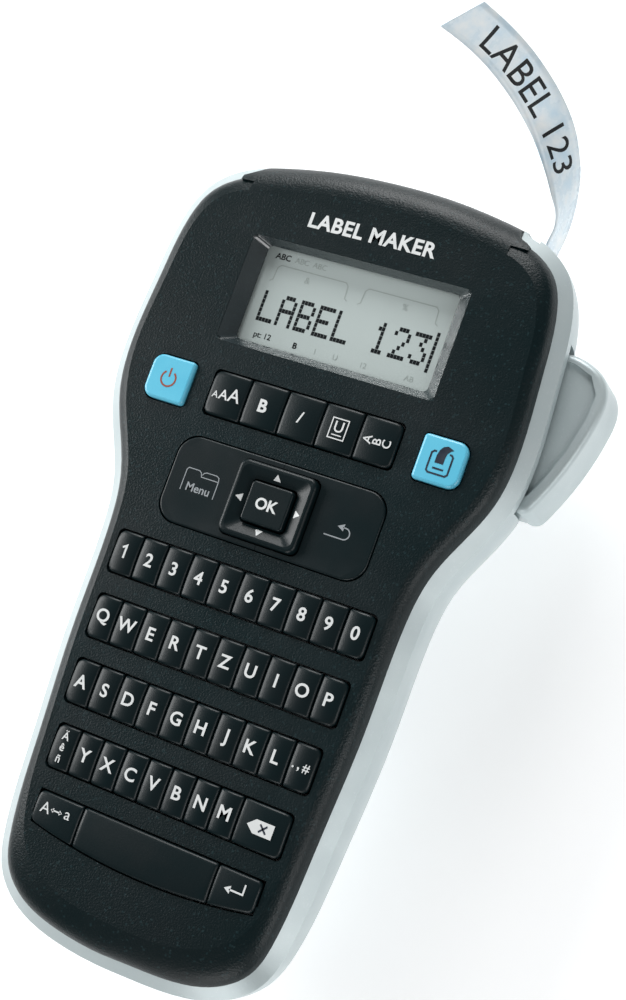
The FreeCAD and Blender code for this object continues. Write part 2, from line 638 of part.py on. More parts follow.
def make_spring():
    """Compression spring that pushes the carrier away from the tape."""
    start, end = 33.3, 42.3
    turns = 6
    helix = Part.makeHelix((end - start - 0.6) / turns, end - start - 0.6, 2.2)
    ring = Part.Wire(Part.makeCircle(0.25, V(2.2, 0, 0), V(0, 1, 0)))
    coil = Part.Wire(helix).makePipeShell([ring], True, True)
    coil.rotate(V(0, 0, 0), V(0, 1, 0), 90)
    coil.translate(V(start + 0.3, 64.5, tape_z))
    return coil


def ribbon_section(left, right, ahead):
    across = (right - left).normalize()
    normal = across.cross(ahead).normalize()
    corners = [left + normal * tape_thick / 2, right + normal * tape_thick / 2,
               right - normal * tape_thick / 2, left - normal * tape_thick / 2]
    return Part.makePolygon(corners + [corners[0]])


def make_label():
    low, high = tape_z - tape_width / 2, tape_z + tape_width / 2
    straight = box(tape_x - tape_thick / 2, tape_x + tape_thick / 2, 72.5, exit_y, low, high)
    left = [V(tape_x, exit_y, high)] + [V(*p) for p in label_left]
    right = [V(tape_x, exit_y, low)] + [V(*p) for p in label_right]
    middle = [(a + b) * 0.5 for a, b in zip(left, right)]
    sections = []
    for i in range(len(middle)):
        ahead = middle[min(i + 1, len(middle) - 1)] - middle[max(i - 1, 0)]
        if i == 0:
            ahead = V(0, 1, 0)
        sections.append(ribbon_section(left[i], right[i], ahead))
    free = Part.makeLoft(sections, True, False)
    return straight.fuse(free)


# Doors, cells, power

def make_cassette_door():
    x0, x1, y0, y1 = bay_box
    z0, z1 = door_lift, door_lift + door_thick
    plate = rounded(x0, x1, y0 - 9, y1, z0, z1, bay_round)
    plate = plate.common(box(x0 - 1, x1 + 1, y0, y1 + 1, -1, 9))
    edge = Part.makeCylinder(hinge_r, x1 - x0, V(x0, y0, z0 + hinge_r), V(1, 0, 0))
    plate = plate.fuse(edge)
    for x in (-16.0, -1.0, 14.0):
        plate = plate.fuse(box(x - 0.8, x + 0.8, y0 + 8, y1 - 12, z1 - 0.2, 12.6))
    for y in (36.0, 62.0):
        plate = plate.fuse(box(-16, 14, y - 0.8, y + 0.8, z1 - 0.2, 9))
    plate = plate.fuse(box(-4, 6, y1 - 3.2, y1 - 1.6, z1 - 0.2, 6.5))
    bore = Part.makeCylinder(0.7 + run_gap, x1 - x0 + 2, V(x0 - 1, y0, z0 + hinge_r), V(1, 0, 0))
    inner = box(x0 + 4.4, x1 - 4.4, y0 - 3, y0 + 3, -2, 5)
    return plate.cut(bore.cut(inner))


def make_door_pins():
    x0, x1, y0, _ = bay_box
    z = door_lift + hinge_r
    left = Part.makeCylinder(0.7, 7.4, V(x0 - 3.4, y0, z), V(1, 0, 0))
    right = Part.makeCylinder(0.7, 7.4, V(x1 - 4.0, y0, z), V(1, 0, 0))
    return Part.makeCompound([left, right])


def make_battery_door(solid):
    x0, x1, y0, y1 = battery_box
    skin = solid.cut(rear_block(2.0, back_round - 2.0))
    door = skin.common(box(x0, x1, y0, y1, -3, 34))
    door = max(door.Solids, key=lambda s: s.Volume)
    for y in (-38.0, -42.0, -46.0):
        groove = Part.makeCylinder(0.6, 18, V(-9, y, 16.7 + (-38.0 - y) * 0.35), V(1, 0, 0))
        door = door.cut(groove)
    return door


def cell_spots():
    return [(-5 * cell_r + i * 2 * cell_r * 1.02 - 0.5, i) for i in range(6)]


def make_cells():
    y0 = -56.0 + 1.9
    cells = []
    for x, i in cell_spots():
        can = Part.makeCylinder(cell_r, cell_length - 0.9, V(x, y0 + (0.9 if i % 2 else 0), cell_z), V(0, 1, 0))
        nib_y = y0 if i % 2 else y0 + cell_length - 0.9
        nib = Part.makeCylinder(1.9, 0.9, V(x, nib_y, cell_z), V(0, 1, 0))
        cells.append(can.fuse(nib))
    return Part.makeCompound(cells)


def make_contacts():
    y0 = -56.0 + 1.9
    strips = []
    for x, _ in cell_spots():
        strips.append(box(x - 4, x + 4, y0 - 0.5, y0 - 0.1, cell_z - 4, cell_z + 4))
        strips.append(box(x - 4, x + 4, y0 + cell_length + 0.1, y0 + cell_length + 0.5, cell_z - 4, cell_z + 4))
    return Part.makeCompound(strips)


def make_jack():
    x, z = jack_at
    body = box(x - 4.6, x + 4.6, 86.5, 99.0, z - 4.6, z + 4.6)
    nose = Part.makeCylinder(3.3, 5, V(x, 97.0, z), V(0, 1, 0)).common(slab(-bevel_out, 20, 60))
    hole = Part.makeCylinder(2.75, 20, V(x, 91.5, z), V(0, 1, 0))
    pin = Part.makeCylinder(1.0, 9.0, V(x, 91.0, z), V(0, 1, 0))
    body = body.common(slab(wall - bevel_out + 0.2, 20, 60))
    return body.fuse(nose).cut(hole).fuse(pin)


def make_screws():
    screws = []
    for x, y in screw_spots:
        seat = screw_floor(y)
        shank = tube(x, y, seat, 46.0, 1.1)
        head = tube(x, y, seat - 1.6, seat, 2.6)
        slot = box(x - 1.6, x + 1.6, y - 0.3, y + 0.3, seat - 2, seat - 0.8)
        cross = box(x - 0.3, x + 0.3, y - 1.6, y + 1.6, seat - 2, seat - 0.8)
        screws.append(shank.fuse(head).cut(slot).cut(cross))
    return Part.makeCompound(screws)


def make_display():
    gx0, gx1, gy0, gy1 = glass_box
    low = glass_top - glass_thick
    window = rounded(gx0 - 2.2, gx1 + 2.2, gy0 - 1.6, gy1 + 1.4, low, glass_top - 0.02, 1.0)
    panel = box(gx0 - 1.5, gx1 + 1.5, gy0 - 1.2, gy1 + 1.0, low - 2.3, low - 0.1)
    holder = rounded(gx0 - 3.4, gx1 + 3.4, gy0 - 3.0, gy1 + 2.8, low - 3.6, low - 0.05, 1.5)
    room = box(gx0 - 1.6, gx1 + 1.6, gy0 - 1.3, gy1 + 1.1, low - 2.4, low + 1)
    view = box(gx0 + 2, gx1 - 2, gy0 + 2, gy1 - 2, low - 5, low + 1)
    flex = box(-12, 8, 39.5, 55.0, 39.74, 39.94)
    return window, panel, holder.cut(room).cut(view), flex


def main():
    solid = rear_solid()
    save(make_rear_housing(solid), "rear_housing")
    save(make_front_housing(), "front_housing")
    save(make_battery_door(solid), "battery_door")
    for name, shape in make_keys().items():
        save(shape, name)
    names = ("display_window", "lcd_panel", "display_holder", "display_flex")
    for name, shape in zip(names, make_display()):
        save(shape, name)
    save(make_membrane(), "keypad_membrane")
    save(make_board(), "main_circuit_board")
    places = gear_places()
    for name, shape in make_gears(places).items():
        save(shape, name)
    save(make_axles(places), "gear_axles")
    save(make_chassis(places), "chassis_plate")
    save(make_motor(), "drive_motor")
    save(tube(*motor_at, 20.2, level_z[0] + gear_thick + 0.1, 1.0), "motor_shaft")
    save(make_feed_shaft(), "feed_shaft")
    save(tube(*feed_at, 16.6, 31.6, 3.35, 1.5), "feed_roller")
    save(make_ribbon_spindle(places), "ribbon_spindle")
    for name, shape in zip(("tape_cassette", "tape_spool", "ribbon_spool"), make_cassette(places)):
        save(shape, name)
    save(make_print_head(), "print_head")
    save(make_lever(), "cutter_lever")
    save(tube(*pivot_at, lever_z[0] - 3.2, 39.9, 1.0), "lever_pivot_pin")
    for name, shape in zip(("cutter_carrier", "cutter_blade"), make_cutter()):
        save(shape, name)
    save(make_spring(), "cutter_spring")
    save(make_label(), "printed_label")
    save(make_cassette_door(), "cassette_door")
    save(make_door_pins(), "cassette_door_pins")
    save(make_cells(), "battery_cells")
    save(make_contacts(), "battery_contacts")
    save(make_jack(), "power_jack")
    save(make_screws(), "housing_screws")


main()
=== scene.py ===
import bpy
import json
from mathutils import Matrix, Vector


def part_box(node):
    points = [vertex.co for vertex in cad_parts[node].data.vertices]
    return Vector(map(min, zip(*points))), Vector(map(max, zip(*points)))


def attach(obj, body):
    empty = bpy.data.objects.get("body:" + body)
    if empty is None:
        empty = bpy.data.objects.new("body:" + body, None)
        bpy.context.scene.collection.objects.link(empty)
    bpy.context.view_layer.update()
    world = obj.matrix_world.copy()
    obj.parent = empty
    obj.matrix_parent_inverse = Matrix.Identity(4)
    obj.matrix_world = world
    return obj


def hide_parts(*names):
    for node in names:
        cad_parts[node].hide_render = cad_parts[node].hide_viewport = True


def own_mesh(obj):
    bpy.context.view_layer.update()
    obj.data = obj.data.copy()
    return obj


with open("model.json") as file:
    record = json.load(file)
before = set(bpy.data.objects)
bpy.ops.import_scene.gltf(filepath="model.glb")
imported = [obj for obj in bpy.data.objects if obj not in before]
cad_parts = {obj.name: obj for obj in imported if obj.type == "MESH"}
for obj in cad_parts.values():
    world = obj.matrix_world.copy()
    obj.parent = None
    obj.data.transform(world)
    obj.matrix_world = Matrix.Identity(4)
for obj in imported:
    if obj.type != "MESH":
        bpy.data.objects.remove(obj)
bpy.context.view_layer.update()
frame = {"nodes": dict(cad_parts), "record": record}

import json
import math

import bmesh
import bpy
from mathutils import Matrix, Vector

mm = 0.001
print("frame loaded:", len(frame["nodes"]), "nodes")

camera = {  # long lens above the right side of the keypad
    "place": (0.15926, -0.0190, 0.42577),
    "right": (0.885, 0.34084, -0.31719),
    "up": (-0.28677, 0.93573, 0.20538),
    "back": (0.3668, -0.0908, 0.92586),
    "lens": 61.24,
    "sensor": 36,
    "clip": 0.01,
}


def linkNew(name, data):
    obj = bpy.data.objects.new(name, data)
    bpy.context.collection.objects.link(obj)
    return obj


def makeCamera(c):
    data = bpy.data.cameras.new("camera")
    data.lens = c["lens"]
    data.sensor_width = c["sensor"]
    data.clip_start = c["clip"]
    obj = linkNew("camera", data)
    turn = Matrix((c["right"], c["up"], c["back"])).transposed().to_4x4()
    obj.matrix_world = Matrix.Translation(c["place"]) @ turn
    bpy.context.scene.camera = obj


makeCamera(camera)
print("camera done")

grainLook = {  # shared by every finish
    "grainDetail": 2.0,
    "cloudDetail": 4.0,
    "cloudContrast": 2.4,
    "cloudOffset": -0.7,
    "speckLimit": 0.86,  # cells brighter than this carry a speck
}
wearLook = {
    "patchDetail": 5.0,
    "ridgeContrast": 9.0,
    "ridgeOffset": -4.75,
}
mixFactor, mixFirst, mixSecond, mixResult = 0, 6, 7, 2  # the colour sockets of a Mix node


def socketsOf(group, inputs, outputs):
    for name, kind, value in inputs:
        socket = group.interface.new_socket(name=name, in_out="INPUT", socket_type=kind)
        socket.default_value = value
    for name, kind in outputs:
        group.interface.new_socket(name=name, in_out="OUTPUT", socket_type=kind)


def addNode(tree, kind, **values):
    node = tree.nodes.new(kind)
    for key, value in values.items():
        setattr(node, key, value)
    return node


def mathNode(tree, operation, *terms, clamp=False):
    node = addNode(tree, "ShaderNodeMath", operation=operation, use_clamp=clamp)
    for socket, value in zip(node.inputs, terms):
        if isinstance(value, (int, float)):
            socket.default_value = value
        else:
            tree.links.new(value, socket)
    return node.outputs[0]


def mixColour(tree, factor, a, b):
    node = addNode(tree, "ShaderNodeMix", data_type="RGBA")
    for index, value in ((mixFactor, factor), (mixFirst, a), (mixSecond, b)):
        tree.links.new(value, node.inputs[index])
    return node.outputs[mixResult]


def makeGrainGroup(look):
    group = bpy.data.node_groups.new("mouldGrain", "ShaderNodeTree")
    socketsOf(group,
              [("Colour", "NodeSocketColor", (0.5, 0.5, 0.5, 1)),
               ("Tint", "NodeSocketColor", (0.4, 0.4, 0.4, 1)),
               ("Speck", "NodeSocketColor", (0.6, 0.6, 0.6, 1)),
               ("Speck Amount", "NodeSocketFloat", 0.0),
               ("Grain Scale", "NodeSocketFloat", 3000.0),
               ("Cloud Scale", "NodeSocketFloat", 40.0),
               ("Rough Low", "NodeSocketFloat", 0.4),
               ("Rough High", "NodeSocketFloat", 0.5)],
              [("Colour", "NodeSocketColor"), ("Roughness", "NodeSocketFloat"),
               ("Height", "NodeSocketFloat")])
    enter = group.nodes.new("NodeGroupInput")
    leave = group.nodes.new("NodeGroupOutput")
    coords = group.nodes.new("ShaderNodeTexCoord")
    grain = addNode(group, "ShaderNodeTexNoise")
    grain.inputs["Detail"].default_value = look["grainDetail"]
    clouds = addNode(group, "ShaderNodeTexNoise")
    clouds.inputs["Detail"].default_value = look["cloudDetail"]
    specks = addNode(group, "ShaderNodeTexVoronoi")
    sizes = ((grain, "Grain Scale"), (clouds, "Cloud Scale"), (specks, "Grain Scale"))
    for texture, size in sizes:
        group.links.new(coords.outputs["Object"], texture.inputs["Vector"])
        group.links.new(enter.outputs[size], texture.inputs["Scale"])
    cloud = mathNode(group, "MULTIPLY_ADD", clouds.outputs["Fac"], look["cloudContrast"],
                     look["cloudOffset"], clamp=True)
    base = mixColour(group, cloud, enter.outputs["Colour"], enter.outputs["Tint"])
    bright = mathNode(group, "GREATER_THAN", specks.outputs["Color"], look["speckLimit"])
    amount = mathNode(group, "MULTIPLY", bright, enter.outputs["Speck Amount"])
    colour = mixColour(group, amount, base, enter.outputs["Speck"])
    span = mathNode(group, "SUBTRACT", enter.outputs["Rough High"], enter.outputs["Rough Low"])
    rough = mathNode(group, "MULTIPLY_ADD", span, cloud, enter.outputs["Rough Low"])
    group.links.new(colour, leave.inputs["Colour"])
    group.links.new(rough, leave.inputs["Roughness"])
    group.links.new(grain.outputs["Fac"], leave.inputs["Height"])
    return group


def makeWearGroup(look):
    group = bpy.data.node_groups.new("edgeWear", "ShaderNodeTree")
    socketsOf(group,
              [("Colour", "NodeSocketColor", (0.5, 0.5, 0.5, 1)),
               ("Worn", "NodeSocketColor", (0.7, 0.7, 0.7, 1)),
               ("Amount", "NodeSocketFloat", 0.3),
               ("Scale", "NodeSocketFloat", 220.0)],
              [("Colour", "NodeSocketColor")])
    enter = group.nodes.new("NodeGroupInput")
    leave = group.nodes.new("NodeGroupOutput")
    coords = group.nodes.new("ShaderNodeTexCoord")
    shape = group.nodes.new("ShaderNodeNewGeometry")
    patches = addNode(group, "ShaderNodeTexNoise")
    patches.inputs["Detail"].default_value = look["patchDetail"]
    group.links.new(coords.outputs["Object"], patches.inputs["Vector"])
    group.links.new(enter.outputs["Scale"], patches.inputs["Scale"])
    ridge = mathNode(group, "MULTIPLY_ADD", shape.outputs["Pointiness"], look["ridgeContrast"],
                     look["ridgeOffset"], clamp=True)
    broken = mathNode(group, "MULTIPLY", ridge, patches.outputs["Fac"])
    mask = mathNode(group, "MULTIPLY", broken, enter.outputs["Amount"], clamp=True)
    worn = mixColour(group, mask, enter.outputs["Colour"], enter.outputs["Worn"])
    group.links.new(worn, leave.inputs["Colour"])
    return group


grainGroup = makeGrainGroup(grainLook)
wearGroup = makeWearGroup(wearLook)
print("shader groups done")

# colours, roughness range, grain size and bump depth in metres, and plain shader values
finishes = {
    "black_shell": {"colour": (0.0012, 0.0098, 0.0118), "tint": (0.0006, 0.0060, 0.0075),
                    "speck": (0.022, 0.055, 0.062), "speckAmount": 0.30, "grain": 2100,
                    "depth": 0.00010, "rough": (0.32, 0.46), "worn": (0.03, 0.045, 0.05),
                    "wear": 0.3, "specular": 0.30, "cloud": 26},
    "silver_shell": {"colour": (0.55, 0.63, 0.64), "tint": (0.49, 0.57, 0.585),
                     "speck": (0.62, 0.68, 0.70), "speckAmount": 0.26, "grain": 2600,
                     "depth": 0.00002, "rough": (0.30, 0.40), "metal": 0.2,
                     "worn": (0.66, 0.70, 0.71), "wear": 0.4},
    "blue_key": {"colour": (0.115, 0.54, 0.76), "tint": (0.15, 0.61, 0.82), "grain": 1600,
                 "depth": 0.00001, "rough": (0.26, 0.36), "coat": 0.3,
                 "worn": (0.25, 0.62, 0.88), "wear": 0.3},
    "black_key": {"colour": (0.0016, 0.0092, 0.0112), "tint": (0.0010, 0.0068, 0.0086),
                  "grain": 3000, "depth": 0.00002, "rough": (0.34, 0.42),
                  "worn": (0.05, 0.06, 0.065), "wear": 0.25, "specular": 0.34, "cloud": 90},
    "clear_window": {"colour": (0.02, 0.02, 0.02), "tint": (0.03, 0.03, 0.03), "grain": 400,
                     "depth": 0.000002, "rough": (0.04, 0.09), "alpha": 0.05},
    "display_glass": {"colour": (0.66, 0.75, 0.735), "tint": (0.60, 0.69, 0.675), "grain": 900,
                      "depth": 0.000004, "rough": (0.35, 0.45), "cloud": 28},
    "grey_plastic": {"colour": (0.16, 0.17, 0.18), "tint": (0.13, 0.14, 0.15), "grain": 1500,
                     "depth": 0.00003, "rough": (0.5, 0.62)},
    "amber_film": {"colour": (0.45, 0.20, 0.03), "tint": (0.36, 0.15, 0.02), "grain": 800,
                   "depth": 0.00001, "rough": (0.2, 0.35)},
    "grey_rubber": {"colour": (0.18, 0.19, 0.20), "tint": (0.15, 0.16, 0.17), "grain": 1800,
                    "depth": 0.00003, "rough": (0.65, 0.8)},
    "green_board": {"colour": (0.015, 0.12, 0.05), "tint": (0.01, 0.085, 0.035), "grain": 700,
                    "depth": 0.00003, "rough": (0.25, 0.4), "coat": 0.4},
    "steel": {"colour": (0.58, 0.58, 0.59), "tint": (0.48, 0.48, 0.50), "grain": 2500,
              "depth": 0.000006, "rough": (0.2, 0.36), "metal": 1.0},
    "motor_can": {"colour": (0.50, 0.50, 0.48), "tint": (0.42, 0.42, 0.41), "grain": 2000,
                  "depth": 0.000008, "rough": (0.28, 0.42), "metal": 1.0},
    "brass": {"colour": (0.66, 0.46, 0.16), "tint": (0.55, 0.36, 0.11), "grain": 2500,
              "depth": 0.000006, "rough": (0.25, 0.38), "metal": 1.0},
    "white_gear": {"colour": (0.78, 0.78, 0.74), "tint": (0.70, 0.70, 0.66), "grain": 1500,
                   "depth": 0.00001, "rough": (0.4, 0.5)},
    "black_rubber": {"colour": (0.02, 0.02, 0.02), "tint": (0.03, 0.03, 0.03), "grain": 2200,
                     "depth": 0.00004, "rough": (0.7, 0.85)},
    "cassette_case": {"colour": (0.62, 0.64, 0.65), "tint": (0.56, 0.58, 0.59), "grain": 1600,
                      "depth": 0.00002, "rough": (0.38, 0.5)},
    "label_tape": {"colour": (0.60, 0.78, 0.90), "tint": (0.90, 0.95, 0.96),
                   "speck": (0.93, 0.86, 0.90), "speckAmount": 0.0, "grain": 500, "cloud": 210,
                   "depth": 0.000004, "rough": (0.22, 0.34), "coat": 0.3},
    "ink_ribbon": {"colour": (0.015, 0.015, 0.02), "tint": (0.02, 0.02, 0.03), "grain": 900,
                   "depth": 0.00001, "rough": (0.2, 0.3)},
    "ceramic_head": {"colour": (0.7, 0.69, 0.64), "tint": (0.62, 0.6, 0.56), "grain": 1200,
                     "depth": 0.00001, "rough": (0.2, 0.3)},
    "cell_jacket": {"colour": (0.05, 0.05, 0.06), "tint": (0.035, 0.035, 0.04), "grain": 900,
                    "depth": 0.00001, "rough": (0.22, 0.34), "coat": 0.3},
    "black_plastic": {"colour": (0.012, 0.012, 0.014), "tint": (0.018, 0.018, 0.02),
                      "grain": 1700, "depth": 0.00002, "rough": (0.35, 0.5)},
    "legend_white": {"colour": (0.80, 0.82, 0.82), "tint": (0.70, 0.73, 0.73), "grain": 1800,
                     "depth": 0.000005, "rough": (0.45, 0.6), "cloud": 300},
    "legend_grey": {"colour": (0.34, 0.37, 0.39), "tint": (0.28, 0.31, 0.33), "grain": 1800,
                    "depth": 0.000005, "rough": (0.45, 0.6), "cloud": 300},
    "legend_dark": {"colour": (0.012, 0.018, 0.035), "tint": (0.02, 0.03, 0.05), "grain": 1800,
                    "depth": 0.000004, "rough": (0.4, 0.55), "cloud": 300},
    "legend_red": {"colour": (0.28, 0.055, 0.03), "tint": (0.34, 0.08, 0.04), "grain": 1800,
                   "depth": 0.000004, "rough": (0.4, 0.5), "cloud": 300},
    "display_ink": {"colour": (0.004, 0.007, 0.009), "tint": (0.007, 0.010, 0.012),
                    "specular": 0.25, "grain": 2600, "depth": 0.000003, "rough": (0.4, 0.5),
                    "cloud": 300},
    "display_ghost": {"colour": (0.48, 0.55, 0.53), "tint": (0.44, 0.51, 0.49), "grain": 2600,
                      "depth": 0.000002, "rough": (0.4, 0.5), "cloud": 120},
    # lining round the display: low roughness, full specular and coat are real gloss; its colour,
    # lighter than black_shell, is painted reflection
    "recess_gloss_painted_reflection": {"colour": (0.02, 0.032, 0.036), "tint": (0.03, 0.042, 0.046), "grain": 1200,
                     "depth": 0.000004, "rough": (0.16, 0.24), "specular": 1.0, "coat": 0.6},
}
finishDefaults = {"cloud": 60, "speckAmount": 0.0, "metal": 0.0, "coat": 0.0, "coatRough": 0.25,
                  "specular": 0.5, "alpha": 1.0}


def makeFinish(name, own):
    look = {**finishDefaults, "speck": own["tint"], **own}
    material = bpy.data.materials.new(name)
    material.use_nodes = True
    tree = material.node_tree
    shader = tree.nodes["Principled BSDF"]
    grain = addNode(tree, "ShaderNodeGroup", node_tree=grainGroup)
    grain.inputs["Colour"].default_value = (*look["colour"], 1)
    grain.inputs["Tint"].default_value = (*look["tint"], 1)
    grain.inputs["Speck"].default_value = (*look["speck"], 1)
    grain.inputs["Speck Amount"].default_value = look["speckAmount"]
    grain.inputs["Grain Scale"].default_value = look["grain"]
    grain.inputs["Cloud Scale"].default_value = look["cloud"]
    grain.inputs["Rough Low"].default_value = look["rough"][0]
    grain.inputs["Rough High"].default_value = look["rough"][1]
    colour = grain.outputs["Colour"]
    if "wear" in look:
        wear = addNode(tree, "ShaderNodeGroup", node_tree=wearGroup)
        wear.inputs["Worn"].default_value = (*look["worn"], 1)
        wear.inputs["Amount"].default_value = look["wear"]
        tree.links.new(colour, wear.inputs["Colour"])
        colour = wear.outputs["Colour"]
    bump = addNode(tree, "ShaderNodeBump")
    bump.inputs["Distance"].default_value = look["depth"]
    bump.inputs["Strength"].default_value = 1.0
    tree.links.new(grain.outputs["Height"], bump.inputs["Height"])
    tree.links.new(colour, shader.inputs["Base Color"])
    tree.links.new(grain.outputs["Roughness"], shader.inputs["Roughness"])
    tree.links.new(bump.outputs["Normal"], shader.inputs["Normal"])
    shader.inputs["Metallic"].default_value = look["metal"]
    shader.inputs["Coat Weight"].default_value = look["coat"]
    shader.inputs["Coat Roughness"].default_value = look["coatRough"]
    shader.inputs["Specular IOR Level"].default_value = look["specular"]
    shader.inputs["Alpha"].default_value = look["alpha"]
    return material


materials = {name: makeFinish(name, look) for name, look in finishes.items()}
slotOf = {part["node"]: part["material_slot"] for part in frame["record"]["subparts"]}
for node, obj in frame["nodes"].items():
    obj.data.materials.clear()
    obj.data.materials.append(materials[slotOf[node]])
print("finishes:", len(materials))


def newPiece(name, verts, faces, material, smooth=True):
    mesh = bpy.data.meshes.new(name)
    mesh.from_pydata([tuple(v) for v in verts], [], faces)
    mesh.materials.append(materials[material])
    mesh.update()
    if smooth:
        mesh.shade_smooth()
    return linkNew(name, mesh)


mergeReach = 1e-6  # metres


def tidyNormals(obj):
    work = bmesh.new()
    work.from_mesh(obj.data)
    bmesh.ops.remove_doubles(work, verts=work.verts, dist=mergeReach)
    bmesh.ops.recalc_face_normals(work, faces=work.faces)
    work.to_mesh(obj.data)
    work.free()


def joinPieces(pieces, name):  # one mesh from several, each keeping its own material
    merged = bmesh.new()
    slots = []
    for piece in pieces:
        start = len(merged.faces)
        merged.from_mesh(piece.data)
        merged.faces.ensure_lookup_table()
        material = piece.data.materials[0]
        if material not in slots:
            slots.append(material)
        for face in merged.faces[start:]:
            face.material_index = slots.index(material)
    mesh = bpy.data.meshes.new(name)
    merged.to_mesh(mesh)
    merged.free()
    for material in slots:
        mesh.materials.append(material)
    obj = linkNew(name, mesh)
    for piece in pieces:
        bpy.data.objects.remove(piece)
    return obj


def nodeBox(node):  # x, y and z ranges in mm
    low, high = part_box(node)
    return [low[0] / mm, high[0] / mm, low[1] / mm, high[1] / mm, low[2] / mm, high[2] / mm]


# crowned key caps with rounded edges, in mm
caps = {
    "crown": 0.55,       # the middle stands this much above the side edges
    "crownAlong": 0.35,  # the same along the key's length
    "edge": 0.55,
    "corner": 0.45,
    "endCorner": 1.7,    # the outer corners of each row
    "leftEnds": ("number_keys", "top_letter_keys", "middle_letter_keys", "accent_key", "size_key"),
    "rightEnds": ("number_keys", "top_letter_keys", "middle_letter_keys", "backspace_key",
                  "vertical_key"),
    "gap": 0.15,
    "steps": (-1, -0.985, -0.95, -0.90, -0.82, -0.6, -0.3, 0,
              0.3, 0.6, 0.82, 0.90, 0.95, 0.985, 1),
    "rows": {"number_keys": 10, "top_letter_keys": 10, "middle_letter_keys": 10,
             "bottom_letter_keys": 7, "accent_key": 1, "backspace_key": 1, "size_key": 1,
             "bold_key": 1, "italic_key": 1, "underline_key": 1, "vertical_key": 1},
}
lastRow = {  # its lower side follows one arc
    "side": -77.4,
    "middle": -80.6,
    "halfSpan": 31.0,
    "crown": 0.3,
    "corners": {"caps_key": (1.3, 0.45), "space_bar": (0.45, 0.45), "enter_key": (0.45, 1.3)},
}


def capPoint(u, v, half, corners, rise, look):  # place from the cap's middle, and its drop
    px, py = u * half.x, v * half.y
    corner = corners[0] if u < 0 else corners[1]
    ax, ay = abs(px) - (half.x - corner), abs(py) - (half.y - corner)
    if ax > 0 and ay > 0:  # pull the corner square onto its quarter circle
        pull = max(ax, ay) / math.hypot(ax, ay)
        px = math.copysign(half.x - corner + ax * pull, px)
        py = math.copysign(half.y - corner + ay * pull, py)
        inside = corner - math.hypot(ax, ay) * pull
    else:
        inside = min(half.x - abs(px), half.y - abs(py))
    drop = rise * u * u + look["crownAlong"] * v * v * (rise > 0)
    if inside < look["edge"]:
        depth = look["edge"] ** 2 - (look["edge"] - inside) ** 2
        drop += look["edge"] - math.sqrt(max(depth, 0))
    return px, py, drop


def keyCap(name, box, corners, look, lowEdge=None, crown=None):
    x0, x1, y0, y1, bottom, top = box
    steps = look["steps"]
    half = Vector(((x1 - x0) / 2, (y1 - y0) / 2))
    rise = look["crown"] if crown is None else crown
    verts = []
    for v in steps:
        for u in steps:
            px, py, drop = capPoint(u, v, half, corners, rise, look)
            x = (x0 + x1) / 2 + px
            low = y0 if lowEdge is None else lowEdge(x)
            share = (py + half.y) / (2 * half.y)
            verts.append(Vector((x, low + (y1 - low) * share, top - drop)) * mm)
    n = len(steps)
    faces = [(j * n + i, j * n + i + 1, (j + 1) * n + i + 1, (j + 1) * n + i)
             for j in range(n - 1) for i in range(n - 1)]
    ring = list(range(n)) + [j * n + n - 1 for j in range(1, n)]  # once round the top's edge
    ring += [(n - 1) * n + i for i in range(n - 2, -1, -1)] + [j * n for j in range(n - 2, 0, -1)]
    base = len(verts)
    verts += [Vector((verts[i].x, verts[i].y, bottom * mm)) for i in ring]
    count = len(ring)
    for k in range(count):
        following = (k + 1) % count
        faces.append((ring[following], ring[k], base + k, base + following))
    faces.append(tuple(base + k for k in reversed(range(count))))
    return newPiece(name, verts, faces, "black_key")


def capRow(node, count):  # caps side by side that together replace one node
    x0, x1, y0, y1, bottom, top = nodeBox(node)
    gap = caps["gap"]
    pitch = (x1 - x0 + 2 * gap) / count
    pieces = []
    for i in range(count):
        left = x0 + i * pitch
        corners = [caps["corner"], caps["corner"]]
        if i == 0 and node in caps["leftEnds"]:
            corners[0] = caps["endCorner"]
        if i == count - 1 and node in caps["rightEnds"]:
            corners[1] = caps["endCorner"]
        box = (left, left + pitch - 2 * gap, y0, y1, bottom, top)
        pieces.append(keyCap("cap", box, corners, caps))
    return pieces


def lastRowEdge(x):
    sag = lastRow["side"] - lastRow["middle"]
    radius = (lastRow["halfSpan"] ** 2 + sag ** 2) / (2 * sag)
    return lastRow["middle"] + caps["gap"] + radius - math.sqrt(radius ** 2 - x * x)


def finishCap(piece, node):
    tidyNormals(piece)
    piece.data.shade_smooth()
    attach(piece, node)
    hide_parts(node)


def makeCaps():
    for node, count in caps["rows"].items():
        row = joinPieces(capRow(node, count), node.replace("_", "") + "Caps")
        finishCap(row, node)
    for node, corners in lastRow["corners"].items():
        x0, x1, y0, y1, bottom, top = nodeBox(node)
        box = (x0, x1, lastRow["side"], y1, bottom, top)
        piece = keyCap(node.replace("_", "") + "Cap", box, corners, caps, lastRowEdge,
                       lastRow["crown"])
        finishCap(piece, node)


makeCaps()
print("key caps done")

# raised print, in mm
markLook = {"extrude": 0.03, "curveSteps": 4, "thick": 0.06, "mitre": 0.4}


def textMesh(text, size, bold=0.0, shear=0.0, spacing=1.0):  # flat text, centred, in mm
    curve = bpy.data.curves.new("text", "FONT")
    curve.body = text
    curve.size = size
    curve.offset = bold
    curve.shear = shear
    curve.space_character = spacing
    curve.extrude = markLook["extrude"]
    curve.resolution_u = markLook["curveSteps"]
    curve.align_x = "CENTER"
    curve.align_y = "CENTER"
    obj = linkNew("text", curve)
    view = bpy.context.evaluated_depsgraph_get()
    mesh = bpy.data.meshes.new_from_object(obj.evaluated_get(view))
    bpy.data.objects.remove(obj)
    xs = [v.co.x for v in mesh.vertices]
    ys = [v.co.y for v in mesh.vertices]
    shift = Vector(((min(xs) + max(xs)) / 2, (min(ys) + max(ys)) / 2, 0))
    for vertex in mesh.vertices:
        vertex.co -= shift
    return mesh


